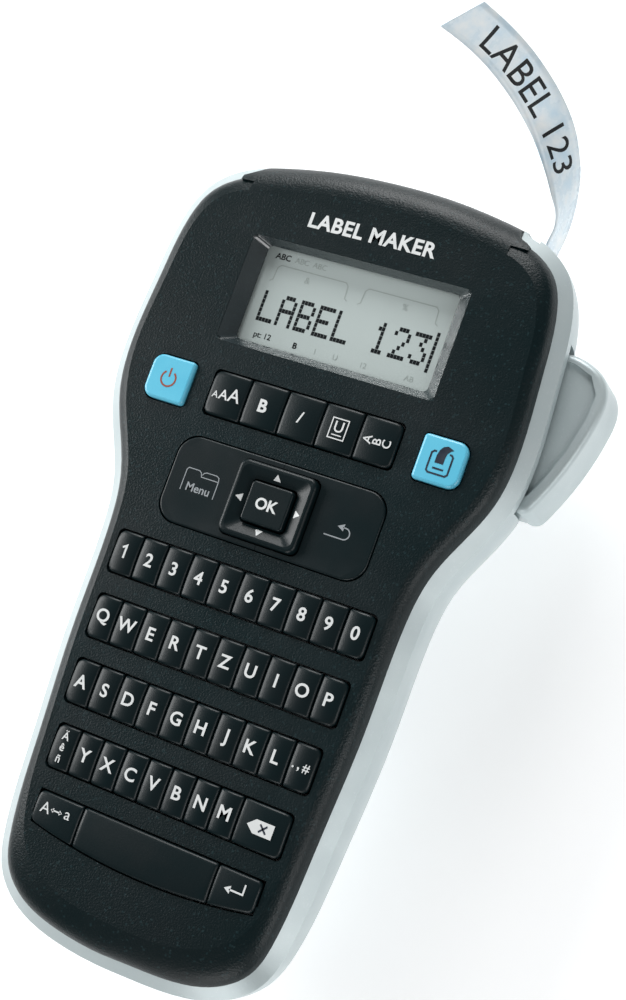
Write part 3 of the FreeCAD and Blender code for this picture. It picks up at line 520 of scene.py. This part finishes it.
def lineMesh(points, width, closed=False, thick=markLook["thick"]):  # even width, mitred
    count = len(points)
    spots = [Vector(point) for point in points]
    verts, faces = [], []
    for i, spot in enumerate(spots):
        before = spots[i - 1] if closed or i > 0 else None
        after = spots[(i + 1) % count] if closed or i < count - 1 else None
        ahead = Vector((0.0, 0.0))
        if before is not None:
            ahead += (spot - before).normalized()
        if after is not None:
            ahead += (after - spot).normalized()
        ahead.normalize()
        side = Vector((-ahead.y, ahead.x))
        if before is not None and after is not None:
            edge = (after - spot).normalized()
            side /= max(abs(side.dot(Vector((-edge.y, edge.x)))), markLook["mitre"])
        for z in (-thick / 2, thick / 2):
            verts.append((*(spot - side * width / 2), z))
            verts.append((*(spot + side * width / 2), z))
    spans = count if closed else count - 1
    for i in range(spans):
        a, b = i * 4, ((i + 1) % count) * 4
        faces += [(a + 2, b + 2, b + 3, a + 3), (a, a + 1, b + 1, b),
                  (a, b, b + 2, a + 2), (a + 1, a + 3, b + 3, b + 1)]
    if not closed:
        end = (count - 1) * 4
        faces += [(0, 2, 3, 1), (end, end + 1, end + 3, end + 2)]
    mesh = bpy.data.meshes.new("line")
    mesh.from_pydata(verts, [], faces)
    return mesh


def fillMesh(points, thick=markLook["thick"]):  # closed outline, counterclockwise
    count = len(points)
    verts = [(x, y, -thick / 2) for x, y in points] + [(x, y, thick / 2) for x, y in points]
    faces = [tuple(reversed(range(count))), tuple(range(count, 2 * count))]
    faces += [(i, (i + 1) % count, count + (i + 1) % count, count + i) for i in range(count)]
    mesh = bpy.data.meshes.new("fill")
    mesh.from_pydata(verts, [], faces)
    return mesh


def arcPoints(cx, cy, radius, start, end, steps):  # angles in degrees
    angles = [math.radians(start + (end - start) * i / steps) for i in range(steps + 1)]
    return [(cx + radius * math.cos(a), cy + radius * math.sin(a)) for a in angles]


def makeMark(mark, x, y, z):  # one word, line or fill at a place in mm
    if "word" in mark:
        mesh = textMesh(mark["word"], mark["size"], mark.get("bold", 0.0), mark.get("shear", 0.0),
                        mark.get("spacing", 1.0))
    elif "line" in mark:
        mesh = lineMesh(mark["line"], mark["width"], mark.get("closed", False),
                        mark.get("thick", markLook["thick"]))
    else:
        mesh = fillMesh(mark["fill"])
    dx, dy = mark.get("at", (0, 0))
    place = Matrix.Diagonal((mm, mm, mm, 1))
    place = place @ Matrix.Translation((x + dx, y + dy, z + mark.get("lift", 0)))
    place = place @ Matrix.Rotation(math.radians(mark.get("turn", 0)), 4, "Z")
    place = place @ Matrix.Rotation(math.radians(mark.get("tilt", 0)), 4, "X")
    mesh.transform(place)
    mesh.materials.clear()
    mesh.materials.append(materials[mark.get("ink", "legend_white")])
    return linkNew("mark", mesh)


def printLegend(pieces, name, body):
    piece = joinPieces(pieces, name)
    tidyNormals(piece)
    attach(piece, body)


# letter rows, in mm
letters = {
    "style": {"size": 4.55, "bold": 0.09},
    "lift": -0.03,       # how far the print stands above the crown
    "raise": 0.2,        # from the key's middle towards the display
    "rows": {"number_keys": "1234567890", "top_letter_keys": "QWERTZUIOP",
             "bottom_letter_keys": "YXCVBNM", "middle_letter_keys": "ASDFGHJKL"},
    "places": {"middle_letter_keys": 10},  # this row ends in a key with two signs
    "one": {"line": [(-0.85, 0.95), (0.15, 1.6), (0.15, -1.6)], "width": 0.52},
    "lastKey": [{"word": ".,", "at": (-1.35, -0.5), "size": 3.8, "bold": 0.03, "spacing": 1.3},
                {"word": "#", "at": (1.25, 0.1), "size": 3.0, "bold": 0.02}],
}


def rowCentres(node, count):
    x0, x1, y0, y1, bottom, top = nodeBox(node)
    pitch = (x1 - x0 + 2 * caps["gap"]) / count
    z = top + letters["lift"]
    return [(x0 - caps["gap"] + (i + 0.5) * pitch, (y0 + y1) / 2, z) for i in range(count)]


def printRows():
    for node, text in letters["rows"].items():
        centres = rowCentres(node, letters["places"].get(node, len(text)))
        pieces = []
        for letter, (x, y, z) in zip(text, centres):
            mark = letters["one"] if letter == "1" else {"word": letter, **letters["style"]}
            pieces.append(makeMark(mark, x, y + letters["raise"], z))
        if len(centres) > len(text):
            pieces += [makeMark(mark, *centres[-1]) for mark in letters["lastKey"]]
        printLegend(pieces, node.replace("_", "") + "Print", node)


crossBar = [(-1.3, -0.22), (1.3, -0.22), (1.3, 0.22), (-1.3, 0.22)]
arrowHead = [(-1.0, -0.8), (1.0, -0.8), (0, 0.95)]
# signs on the single keys: places from each key's middle, sizes in mm
keySigns = {
    "accent_key": {"piece": "accentPrint", "marks": [
        {"word": "Ä", "at": (0, 3.1), "size": 2.8, "bold": 0.03},
        {"word": "ê", "at": (0, 0.1), "size": 2.8, "bold": 0.03},
        {"word": "ñ", "at": (0, -2.8), "size": 2.8, "bold": 0.03}]},
    "backspace_key": {"piece": "backspacePrint", "marks": [
        {"fill": [(-3.6, 0), (-1.6, 1.7), (3.2, 1.7), (3.2, -1.7), (-1.6, -1.7)]},
        {"fill": crossBar, "at": (0.6, 0), "lift": 0.04, "turn": 45, "ink": "legend_dark"},
        {"fill": crossBar, "at": (0.6, 0), "lift": 0.04, "turn": -45, "ink": "legend_dark"}]},
    "caps_key": {"piece": "capsPrint", "marks": [
        {"word": "A", "at": (-3.1, 1.3), "size": 3.9},
        {"word": "a", "at": (3.1, 1.3), "size": 3.9},
        {"line": [(-1.3, 0), (1.3, 0)], "at": (0, 1.3), "width": 0.35},
        {"fill": [(-0.8, -0.6), (-0.8, 0.6), (-1.6, 0)], "at": (0, 1.3)},
        {"fill": [(1.6, 0), (0.8, 0.6), (0.8, -0.6)], "at": (0, 1.3)}]},
    "enter_key": {"piece": "enterPrint", "marks": [
        {"line": [(2.2, 1.8), (2.2, -0.6), (-1.4, -0.6)], "at": (0, 1.0), "width": 0.42},
        {"fill": [(-1.1, -1.55), (-1.1, 0.35), (-2.7, -0.6)], "at": (0, 1.0)}]},
    "size_key": {"piece": "sizePrint", "marks": [
        {"word": "A", "at": (-2.9, -0.5), "size": 2.4, "bold": 0.03},
        {"word": "A", "at": (-0.7, -0.1), "size": 3.6, "bold": 0.03},
        {"word": "A", "at": (2.2, 0.35), "size": 4.8, "bold": 0.03}]},
    "bold_key": {"piece": "boldPrint", "marks": [{"word": "B", "size": 4.4, "bold": 0.14}]},
    "italic_key": {"piece": "italicPrint", "marks": [
        {"word": "I", "size": 4.2, "bold": 0.02, "shear": 0.35}]},
    "underline_key": {"piece": "underlinePrint", "marks": [
        {"word": "U", "at": (0, 0.5), "size": 3.9, "bold": 0.02},
        {"line": [(-2.1, -2.5), (2.1, -2.5), (2.1, 2.5), (-2.1, 2.5)], "width": 0.28,
         "closed": True},
        {"line": [(-1.3, -1.6), (1.3, -1.6)], "width": 0.26}]},
    "vertical_key": {"piece": "verticalPrint", "marks": [
        {"word": "A", "at": (-2.5, -0.2), "size": 3.1, "bold": 0.03, "turn": 90},
        {"word": "B", "at": (0.0, -0.2), "size": 3.1, "bold": 0.03, "turn": 90},
        {"word": "C", "at": (2.5, -0.2), "size": 3.1, "bold": 0.03, "turn": 90}]},
    "navigation_ring": {"piece": "arrowPrint", "body": "nav_ring", "lift": -0.56, "marks": [
        {"fill": arrowHead, "at": (0, 7.0), "turn": 0, "tilt": 26},
        {"fill": arrowHead, "at": (-7.9, 0), "turn": 90, "tilt": 23},
        {"fill": arrowHead, "at": (0, -7.0), "turn": 180, "tilt": 26},
        {"fill": arrowHead, "at": (7.9, 0), "turn": 270, "tilt": 23}]},
    "ok_button": {"piece": "okPrint", "lift": 0.02, "marks": [
        {"word": "OK", "size": 3.9, "bold": 0.10}]},
    "menu_key": {"piece": "menuPrint", "middle": (-19.4, 12.6), "lift": 0.02, "marks": [
        {"line": [(-4.6, -2.2), (-4.6, 3.0), (-4.2, 3.6), (-1.2, 3.6), (-0.6, 3.2), (-0.2, 2.2),
                  (4.6, 2.2), (4.6, -2.2)], "width": 0.22, "ink": "legend_grey"},
        {"line": [(-0.1, 2.7), (0.2, 3.3), (0.9, 3.6), (3.7, 3.6), (4.4, 3.2), (4.6, 2.3)],
         "width": 0.22, "ink": "legend_grey"},
        {"word": "Menu", "at": (0, -0.9), "size": 3.0, "bold": 0.04, "ink": "legend_grey"}]},
    "back_key": {"piece": "backPrint", "middle": (19.6, 12.4), "lift": 0.02, "marks": [
        {"line": [(-4.0, -1.3), (0.6, -1.3), *arcPoints(0.9, 0.1, 1.4, -90, 90, 10), (0.2, 1.5)],
         "width": 0.3, "ink": "legend_grey"},
        {"fill": [(0.4, 0.6), (0.4, 2.4), (-1.3, 1.5)], "ink": "legend_grey"}]},
    "power_button": {"piece": "powerPrint", "lift": 0.02, "marks": [
        {"line": arcPoints(0, 0, 2.0, 125, 415, 24), "at": (0, -0.1), "width": 0.44,
         "ink": "legend_red"},
        {"line": [(0, 0.5), (0, 2.8)], "at": (0, -0.1), "width": 0.44, "ink": "legend_red"}]},
    "print_button": {"piece": "printPrint", "lift": 0.02, "marks": [
        {"line": [(-1.6, 2.0), (-2.2, 2.0), (-2.7, 1.5), (-2.7, -2.8), (-2.2, -3.3), (2.2, -3.3),
                  (2.7, -2.8), (2.7, 1.5), (2.2, 2.0), (1.7, 2.0)],
         "width": 0.44, "ink": "legend_dark"},
        {"fill": [(-1.3, -0.7), (0.9, -0.7), (0.9, 0.8), (1.1, 2.0), (1.7, 2.8), (2.4, 3.2),
                  (0.8, 3.8), (-0.3, 3.4), (-1.0, 2.4), (-1.3, 1.0)], "ink": "legend_dark"},
        {"line": [(-1.4, -2.0), (1.4, -2.0)], "width": 0.44, "ink": "legend_dark"}]},
    "front_housing": {"piece": "facePrint", "body": "housing", "middle": (0.8, 84.4), "lift": 0.01,
                      "marks": [{"word": "LABEL MAKER", "size": 5.3, "bold": 0.15,
                                 "spacing": 1.06}]},
}


def printSigns():
    for node, sign in keySigns.items():
        x0, x1, y0, y1, bottom, top = nodeBox(node)
        x, y = sign.get("middle", ((x0 + x1) / 2, (y0 + y1) / 2))
        z = top + sign.get("lift", letters["lift"])
        pieces = [makeMark(mark, x, y, z) for mark in sign["marks"]]
        printLegend(pieces, sign["piece"], sign.get("body", node))


printRows()
printSigns()
print("legends done")


tabLine = [(0, 0), (0.8, 0.5), (1.0, 3.7), (1.8, 4.5), (20.0, 4.5), (20.8, 3.7), (21.0, 0.5),
           (21.8, 0)]
# dot letters and the small signs round them, in mm
display = {
    "text": "LABEL 123",
    "pitch": 0.87,
    "rise": 1.16,        # between rows of dots
    "dot": (0.80, 1.06),
    "thick": 0.02,
    "lift": 0.01,
    "start": (-22.9, 57.8),
    "cell": 6,           # columns from one letter to the next
    "cursorRows": range(-1, 8),
    "font": {"L": ("10000", "10000", "10000", "10000", "10000", "10000", "11111"),
             "A": ("01110", "10001", "10001", "11111", "10001", "10001", "10001"),
             "B": ("11110", "10001", "10001", "11110", "10001", "10001", "11110"),
             "E": ("11111", "10000", "10000", "11110", "10000", "10000", "11111"),
             "1": ("00100", "01100", "00100", "00100", "00100", "00100", "01110"),
             "2": ("01110", "10001", "00001", "00010", "00100", "01000", "11111"),
             "3": ("11111", "00010", "00100", "00010", "00001", "10001", "01110"),
             " ": ("00000",) * 7},
    "signs": [("ABC", -21.9, 74.6, 2.2, "display_ink", 0.03),
              ("ABC", -16.6, 74.6, 2.0, "display_ghost", 0.0),
              ("ABC", -11.6, 74.6, 2.0, "display_ghost", 0.0),
              ("&", -13.5, 70.3, 2.4, "display_ghost", 0.0),
              ("%", 13.5, 70.3, 2.4, "display_ghost", 0.0),
              ("pt: 12", -19.9, 53.6, 2.1, "display_ink", 0.02),
              ("B", -10.6, 53.6, 2.1, "display_ink", 0.06),
              ("I", -5.0, 53.6, 2.0, "display_ghost", 0.0),
              ("U", 0.6, 53.6, 2.0, "display_ghost", 0.0),
              ("12", 8.4, 53.6, 2.0, "display_ghost", 0.0),
              ("AB", 20.6, 53.6, 2.0, "display_ghost", 0.0)],
    "tabs": [{"line": tabLine, "at": (x, 67.9), "width": 0.25, "thick": 0.02,
              "ink": "display_ghost"} for x in (-23.4, 1.2)],
}


def dotTree(material):  # geometry nodes that put a square dot on every point
    tree = bpy.data.node_groups.new("displayDots", "GeometryNodeTree")
    socket = tree.interface.new_socket
    socket(name="Geometry", in_out="INPUT", socket_type="NodeSocketGeometry")
    for name in ("Dot Width", "Dot Length", "Dot Height"):
        socket(name=name, in_out="INPUT", socket_type="NodeSocketFloat")
    socket(name="Geometry", in_out="OUTPUT", socket_type="NodeSocketGeometry")
    enter = tree.nodes.new("NodeGroupInput")
    leave = tree.nodes.new("NodeGroupOutput")
    size = tree.nodes.new("ShaderNodeCombineXYZ")
    cube = tree.nodes.new("GeometryNodeMeshCube")
    scatter = tree.nodes.new("GeometryNodeInstanceOnPoints")
    solid = tree.nodes.new("GeometryNodeRealizeInstances")
    paint = tree.nodes.new("GeometryNodeSetMaterial")
    paint.inputs["Material"].default_value = material
    link = tree.links.new
    for index, name in enumerate(("Dot Width", "Dot Length", "Dot Height")):
        link(enter.outputs[name], size.inputs[index])
    link(size.outputs[0], cube.inputs["Size"])
    link(enter.outputs["Geometry"], scatter.inputs["Points"])
    link(cube.outputs["Mesh"], scatter.inputs["Instance"])
    link(scatter.outputs["Instances"], solid.inputs["Geometry"])
    link(solid.outputs["Geometry"], paint.inputs["Geometry"])
    link(paint.outputs["Geometry"], leave.inputs["Geometry"])
    return tree


def runTree(name, points, tree, values):  # a tree on loose points, made a plain mesh
    mesh = bpy.data.meshes.new(name + "Points")
    mesh.from_pydata(points, [], [])
    carrier = linkNew(name + "Points", mesh)
    modifier = carrier.modifiers.new("nodes", "NODES")
    modifier.node_group = tree
    for socket in tree.interface.items_tree:
        if socket.in_out == "INPUT" and socket.name in values:
            modifier[socket.identifier] = values[socket.name]
    view = bpy.context.evaluated_depsgraph_get()
    result = bpy.data.meshes.new_from_object(carrier.evaluated_get(view))
    carrier.modifiers.remove(modifier)
    bpy.data.objects.remove(carrier)
    return linkNew(name, result)


def makeDisplay(d):
    z = nodeBox("lcd_panel")[5] + d["thick"] / 2 + d["lift"]
    spots = []
    for index, letter in enumerate(d["text"]):
        rows = d["font"][letter]
        for row, line in enumerate(rows):
            for column, lit in enumerate(line):
                if lit == "1":
                    spots.append((index * d["cell"] + column, len(rows) - 1 - row))
    spots += [(len(d["text"]) * d["cell"], row) for row in d["cursorRows"]]
    x0, y0 = d["start"]
    points = [((x0 + column * d["pitch"]) * mm, (y0 + row * d["rise"]) * mm, z * mm)
              for column, row in spots]
    dots = runTree("displayDots", points, dotTree(materials["display_ink"]),
                   {"Dot Width": d["dot"][0] * mm, "Dot Length": d["dot"][1] * mm,
                    "Dot Height": d["thick"] * mm})
    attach(dots, "housing")
    pieces = [makeMark({"word": text, "size": size, "bold": bold, "ink": ink}, x, y, z)
              for text, x, y, size, ink, bold in d["signs"]]
    pieces += [makeMark(tab, 0, 0, z) for tab in d["tabs"]]
    marks = joinPieces(pieces, "displayMarks")
    tidyNormals(marks)
    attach(marks, "housing")


makeDisplay(display)

# thin glossy lining on the sloping walls round the display, lighter than the black shell: its
# colour is painted reflection of light on the walls, in mm
recess = {
    "glassEdge": (2.2, 2.2, 1.6, 1.4),   # from the window's sides in to the glass opening
    "flare": (4.4, 4.6, 3.0, 1.4),       # how far each side of the opening leans outwards
    "low": 0.12,                         # the lining's ends, as shares of the walls' height
    "high": 0.88,
    "offset": 0.04,
    "height": 4.8,
    "sink": 0.48,                        # the walls start below the glass
    "corner": 1.3,
    "cornerSteps": 5,
    "sharp": 40,
}


def recessRing(r, share):  # rounded rectangle at a share of the walls' height
    x0, x1, y0, y1, bottom, top = nodeBox("display_window")
    edge = r["glassEdge"]
    lean = [v * share - r["offset"] for v in r["flare"]]
    left, right = x0 + edge[0] - lean[0], x1 - edge[1] + lean[1]
    low, high = y0 + edge[2] - lean[2], y1 - edge[3] + lean[3]
    z = top - r["sink"] + share * r["height"]
    c = r["corner"]
    middles = ((right - c, high - c), (left + c, high - c),
               (left + c, low + c), (right - c, low + c))
    points = []
    for quarter, (cx, cy) in enumerate(middles):
        points += arcPoints(cx, cy, c, quarter * 90, quarter * 90 + 90, r["cornerSteps"])
    return [Vector((x, y, z)) * mm for x, y in points]


def makeRecessReflection(r):
    low, high = recessRing(r, r["low"]), recessRing(r, r["high"])
    count = len(low)
    faces = [(count + i, count + (i + 1) % count, (i + 1) % count, i) for i in range(count)]
    # a lighter sheet over the recess walls: painted reflection
    lining = newPiece("displayReflectionLining", low + high, faces, "recess_gloss_painted_reflection")
    lining.data.set_sharp_from_angle(angle=math.radians(r["sharp"]))
    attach(lining, "housing")


makeRecessReflection(recess)
print("display done")

# printed label: a twisted strip between two edges, with print that follows it, in mm
label = {
    "exit": (37.55, 98.0, 24.0),
    "inside": (73.0, 86),  # y of the straight part's points, in the case
    "half": 6.0,           # half the width between the edges in the case
    "width": 11.9,
    "thick": 0.16,
    "steps": 150,
    "columns": 6,
    "left": [(38.2, 103.0, 30.6), (37.7, 106.4, 33.0), (35.6, 109.6, 35.7), (33.0, 113.7, 39.0),
             (29.5, 118.6, 43.4), (25.3, 123.0, 48.2), (21.2, 126.1, 53.6), (16.6, 128.5, 59.4),
             (12.2, 129.9, 65.3), (7.9, 130.7, 71.1)],
    "right": [(38.5, 104.4, 18.8), (39.3, 111.2, 22.2), (39.4, 118.2, 27.3), (38.6, 122.4, 31.2),
              (37.2, 126.3, 36.6), (34.6, 129.9, 43.2), (31.0, 133.2, 49.9), (26.4, 136.4, 56.4),
              (21.2, 138.6, 62.6), (15.6, 139.9, 68.9)],
    "text": "LABEL 123",
    "textSize": 9.2,
    "textStart": 8.5,      # from the free end
    "bold": 0.03,
    "spacing": 1.02,
    "longEdge": 0.8,       # longer edges of the letters are cut so that they bend
    "inkLift": 0.012,
    "readRow": -20,        # the print is on the side that faces readFrom at this step
    "readFrom": camera["back"],
}


def smoothLine(points, share):  # a share of the way along a Catmull-Rom line through points
    spans = len(points) - 1
    at = min(max(share, 0.0), 1.0) * spans
    i = min(int(at), spans - 1)
    t = at - i
    a = points[max(i - 1, 0)]
    b, c = points[i], points[i + 1]
    d = points[min(i + 2, spans)]
    first, second = b + (c - a) / 6, c - (d - b) / 6
    u = 1 - t
    return b * u ** 3 + first * 3 * u * u * t + second * 3 * u * t * t + c * t ** 3


def labelEdges(spec):
    x, y, z = spec["exit"]
    straight = (*spec["inside"], y)
    left = [Vector((x, place, z + spec["half"])) for place in straight]
    right = [Vector((x, place, z - spec["half"])) for place in straight]
    left += [Vector(p) for p in spec["left"]]
    right += [Vector(p) for p in spec["right"]]
    return left, right


def labelFrames(spec):  # middle, side, normal and lean at even steps, and the length so far
    left, right = labelEdges(spec)
    steps = spec["steps"]
    rows = []
    for i in range(steps + 1):
        a, b = smoothLine(left, i / steps), smoothLine(right, i / steps)
        rows.append(((a + b) / 2, (b - a).normalized()))
    run = [0.0]
    for i in range(steps):
        run.append(run[-1] + (rows[i + 1][0] - rows[i][0]).length)
    frames = []
    for i, (middle, side) in enumerate(rows):
        ahead = rows[min(i + 1, steps)][0] - rows[max(i - 1, 0)][0]
        normal = side.cross(ahead).normalized()
        frames.append((middle, side, normal, side.dot(ahead.normalized())))
    return frames, run


def labelPoint(frames, run, distance, across, lift):  # distance from the free end
    lean = 0.0
    for _ in range(2):  # the strip's cross lines lean, so the second pass steps back along it
        wide = across / math.sqrt(1 - lean * lean)
        target = run[-1] - distance - wide * lean
        i = 0
        while i < len(run) - 2 and run[i + 1] < target:
            i += 1
        lean = frames[i][3]
    share = (target - run[i]) / (run[i + 1] - run[i])
    middle, side, normal = (frames[i][k].lerp(frames[i + 1][k], share) for k in range(3))
    return middle + side * wide + normal.normalized() * lift


def makeStrip(spec, frames):
    verts, faces = [], []
    n = spec["columns"] + 1
    across = [(-0.5 + k / spec["columns"]) * spec["width"] for k in range(n)]
    for middle, side, normal, lean in frames:
        for lift in (-0.5, 0.5):
            for shift in across:
                verts.append((middle + side * shift + normal * lift * spec["thick"]) * mm)
    for i in range(len(frames) - 1):
        a, b = i * 2 * n, (i + 1) * 2 * n
        for k in range(n - 1):
            faces.append((a + k, b + k, b + k + 1, a + k + 1))
            faces.append((a + n + k, a + n + k + 1, b + n + k + 1, b + n + k))
        faces.append((a, a + n, b + n, b))
        faces.append((a + n - 1, b + n - 1, b + 2 * n - 1, a + 2 * n - 1))
    for start in (0, (len(frames) - 1) * 2 * n):
        for k in range(n - 1):
            faces.append((start + k, start + k + 1, start + n + k + 1, start + n + k))
    strip = newPiece("labelStrip", verts, faces, "label_tape")
    tidyNormals(strip)
    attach(strip, "housing")
    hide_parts("printed_label")


def makeLabelPrint(spec, frames, run, sign):  # sign is the side of the strip the print is on
    mesh = textMesh(spec["text"], spec["textSize"], bold=spec["bold"], spacing=spec["spacing"])
    work = bmesh.new()
    work.from_mesh(mesh)
    low = min(v.co.x for v in work.verts)
    longEdges = [e for e in work.edges if e.calc_length() > spec["longEdge"]]
    bmesh.ops.subdivide_edges(work, edges=longEdges, cuts=2)
    bmesh.ops.triangulate(work, faces=work.faces)
    for vertex in work.verts:
        distance = spec["textStart"] + vertex.co.x - low
        layers = 2 if vertex.co.z > 0 else 1
        lift = sign * (spec["thick"] / 2 + spec["inkLift"] * layers)
        vertex.co = labelPoint(frames, run, distance, vertex.co.y, lift) * mm
    work.to_mesh(mesh)
    work.free()
    mesh.materials.clear()
    mesh.materials.append(materials["display_ink"])
    words = linkNew("labelPrint", mesh)
    tidyNormals(words)
    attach(words, "housing")


def makeLabel(spec):
    frames, run = labelFrames(spec)
    normal = frames[spec["readRow"]][2]
    sign = 1 if normal.dot(Vector(spec["readFrom"])) > 0 else -1
    makeStrip(spec, frames)
    makeLabelPrint(spec, frames, run, sign)
    outside = run[-1] - (spec["exit"][1] - spec["inside"][0])
    print("label done,", round(outside, 1), "mm out of the slot")


makeLabel(label)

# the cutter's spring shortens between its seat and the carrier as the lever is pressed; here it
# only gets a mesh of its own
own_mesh(bpy.data.objects["cutter_spring"])
print("spring done")

stage = {
    "floor": (0.86, 0.87, 0.88),
    "floorSize": 3.0,
    "floorRough": 0.9,
    "floorGlow": 0.42,
    "world": 0.10,
    "aim": (0, 0, 0.03),
    "lights": {  # place in metres, watts, size in metres
        "back": ((-0.25, 1.15, 0.55), 14.0, 0.7),
        "left": ((-1.05, 0.05, 0.55), 12.0, 0.7),
        "right": ((1.05, -0.35, 0.60), 5.0, 0.7),
        "low": ((0.15, -1.15, 0.45), 4.5, 0.6),
    },
}


def makeLight(name, place, power, size, aim):
    data = bpy.data.lights.new(name, "AREA")
    data.energy = power
    data.size = size
    turn = (Vector(aim) - Vector(place)).to_track_quat("-Z", "Y")
    linkNew(name, data).matrix_world = Matrix.Translation(place) @ turn.to_matrix().to_4x4()


def makeFloor(s):
    half = s["floorSize"] / 2
    corners = [(-half, -half, 0), (half, -half, 0), (half, half, 0), (-half, half, 0)]
    floor = newPiece("floor", corners, [(0, 1, 2, 3)], "cassette_case", smooth=False)
    paint = bpy.data.materials.new("floorPaint")
    paint.use_nodes = True
    shader = paint.node_tree.nodes["Principled BSDF"]
    shader.inputs["Base Color"].default_value = (*s["floor"], 1)
    shader.inputs["Roughness"].default_value = s["floorRough"]
    shader.inputs["Emission Color"].default_value = (1, 1, 1, 1)
    shader.inputs["Emission Strength"].default_value = s["floorGlow"]
    floor.data.materials[0] = paint


def makeStudio(s):
    world = bpy.data.worlds.new("studio")
    world.use_nodes = True
    background = world.node_tree.nodes["Background"]
    background.inputs["Color"].default_value = (1, 1, 1, 1)
    background.inputs["Strength"].default_value = s["world"]
    bpy.context.scene.world = world
    for name, (place, power, size) in s["lights"].items():
        makeLight(name, place, power, size, s["aim"])
    bpy.context.scene.view_settings.view_transform = "Standard"


makeFloor(stage)
makeStudio(stage)
print("stage done")
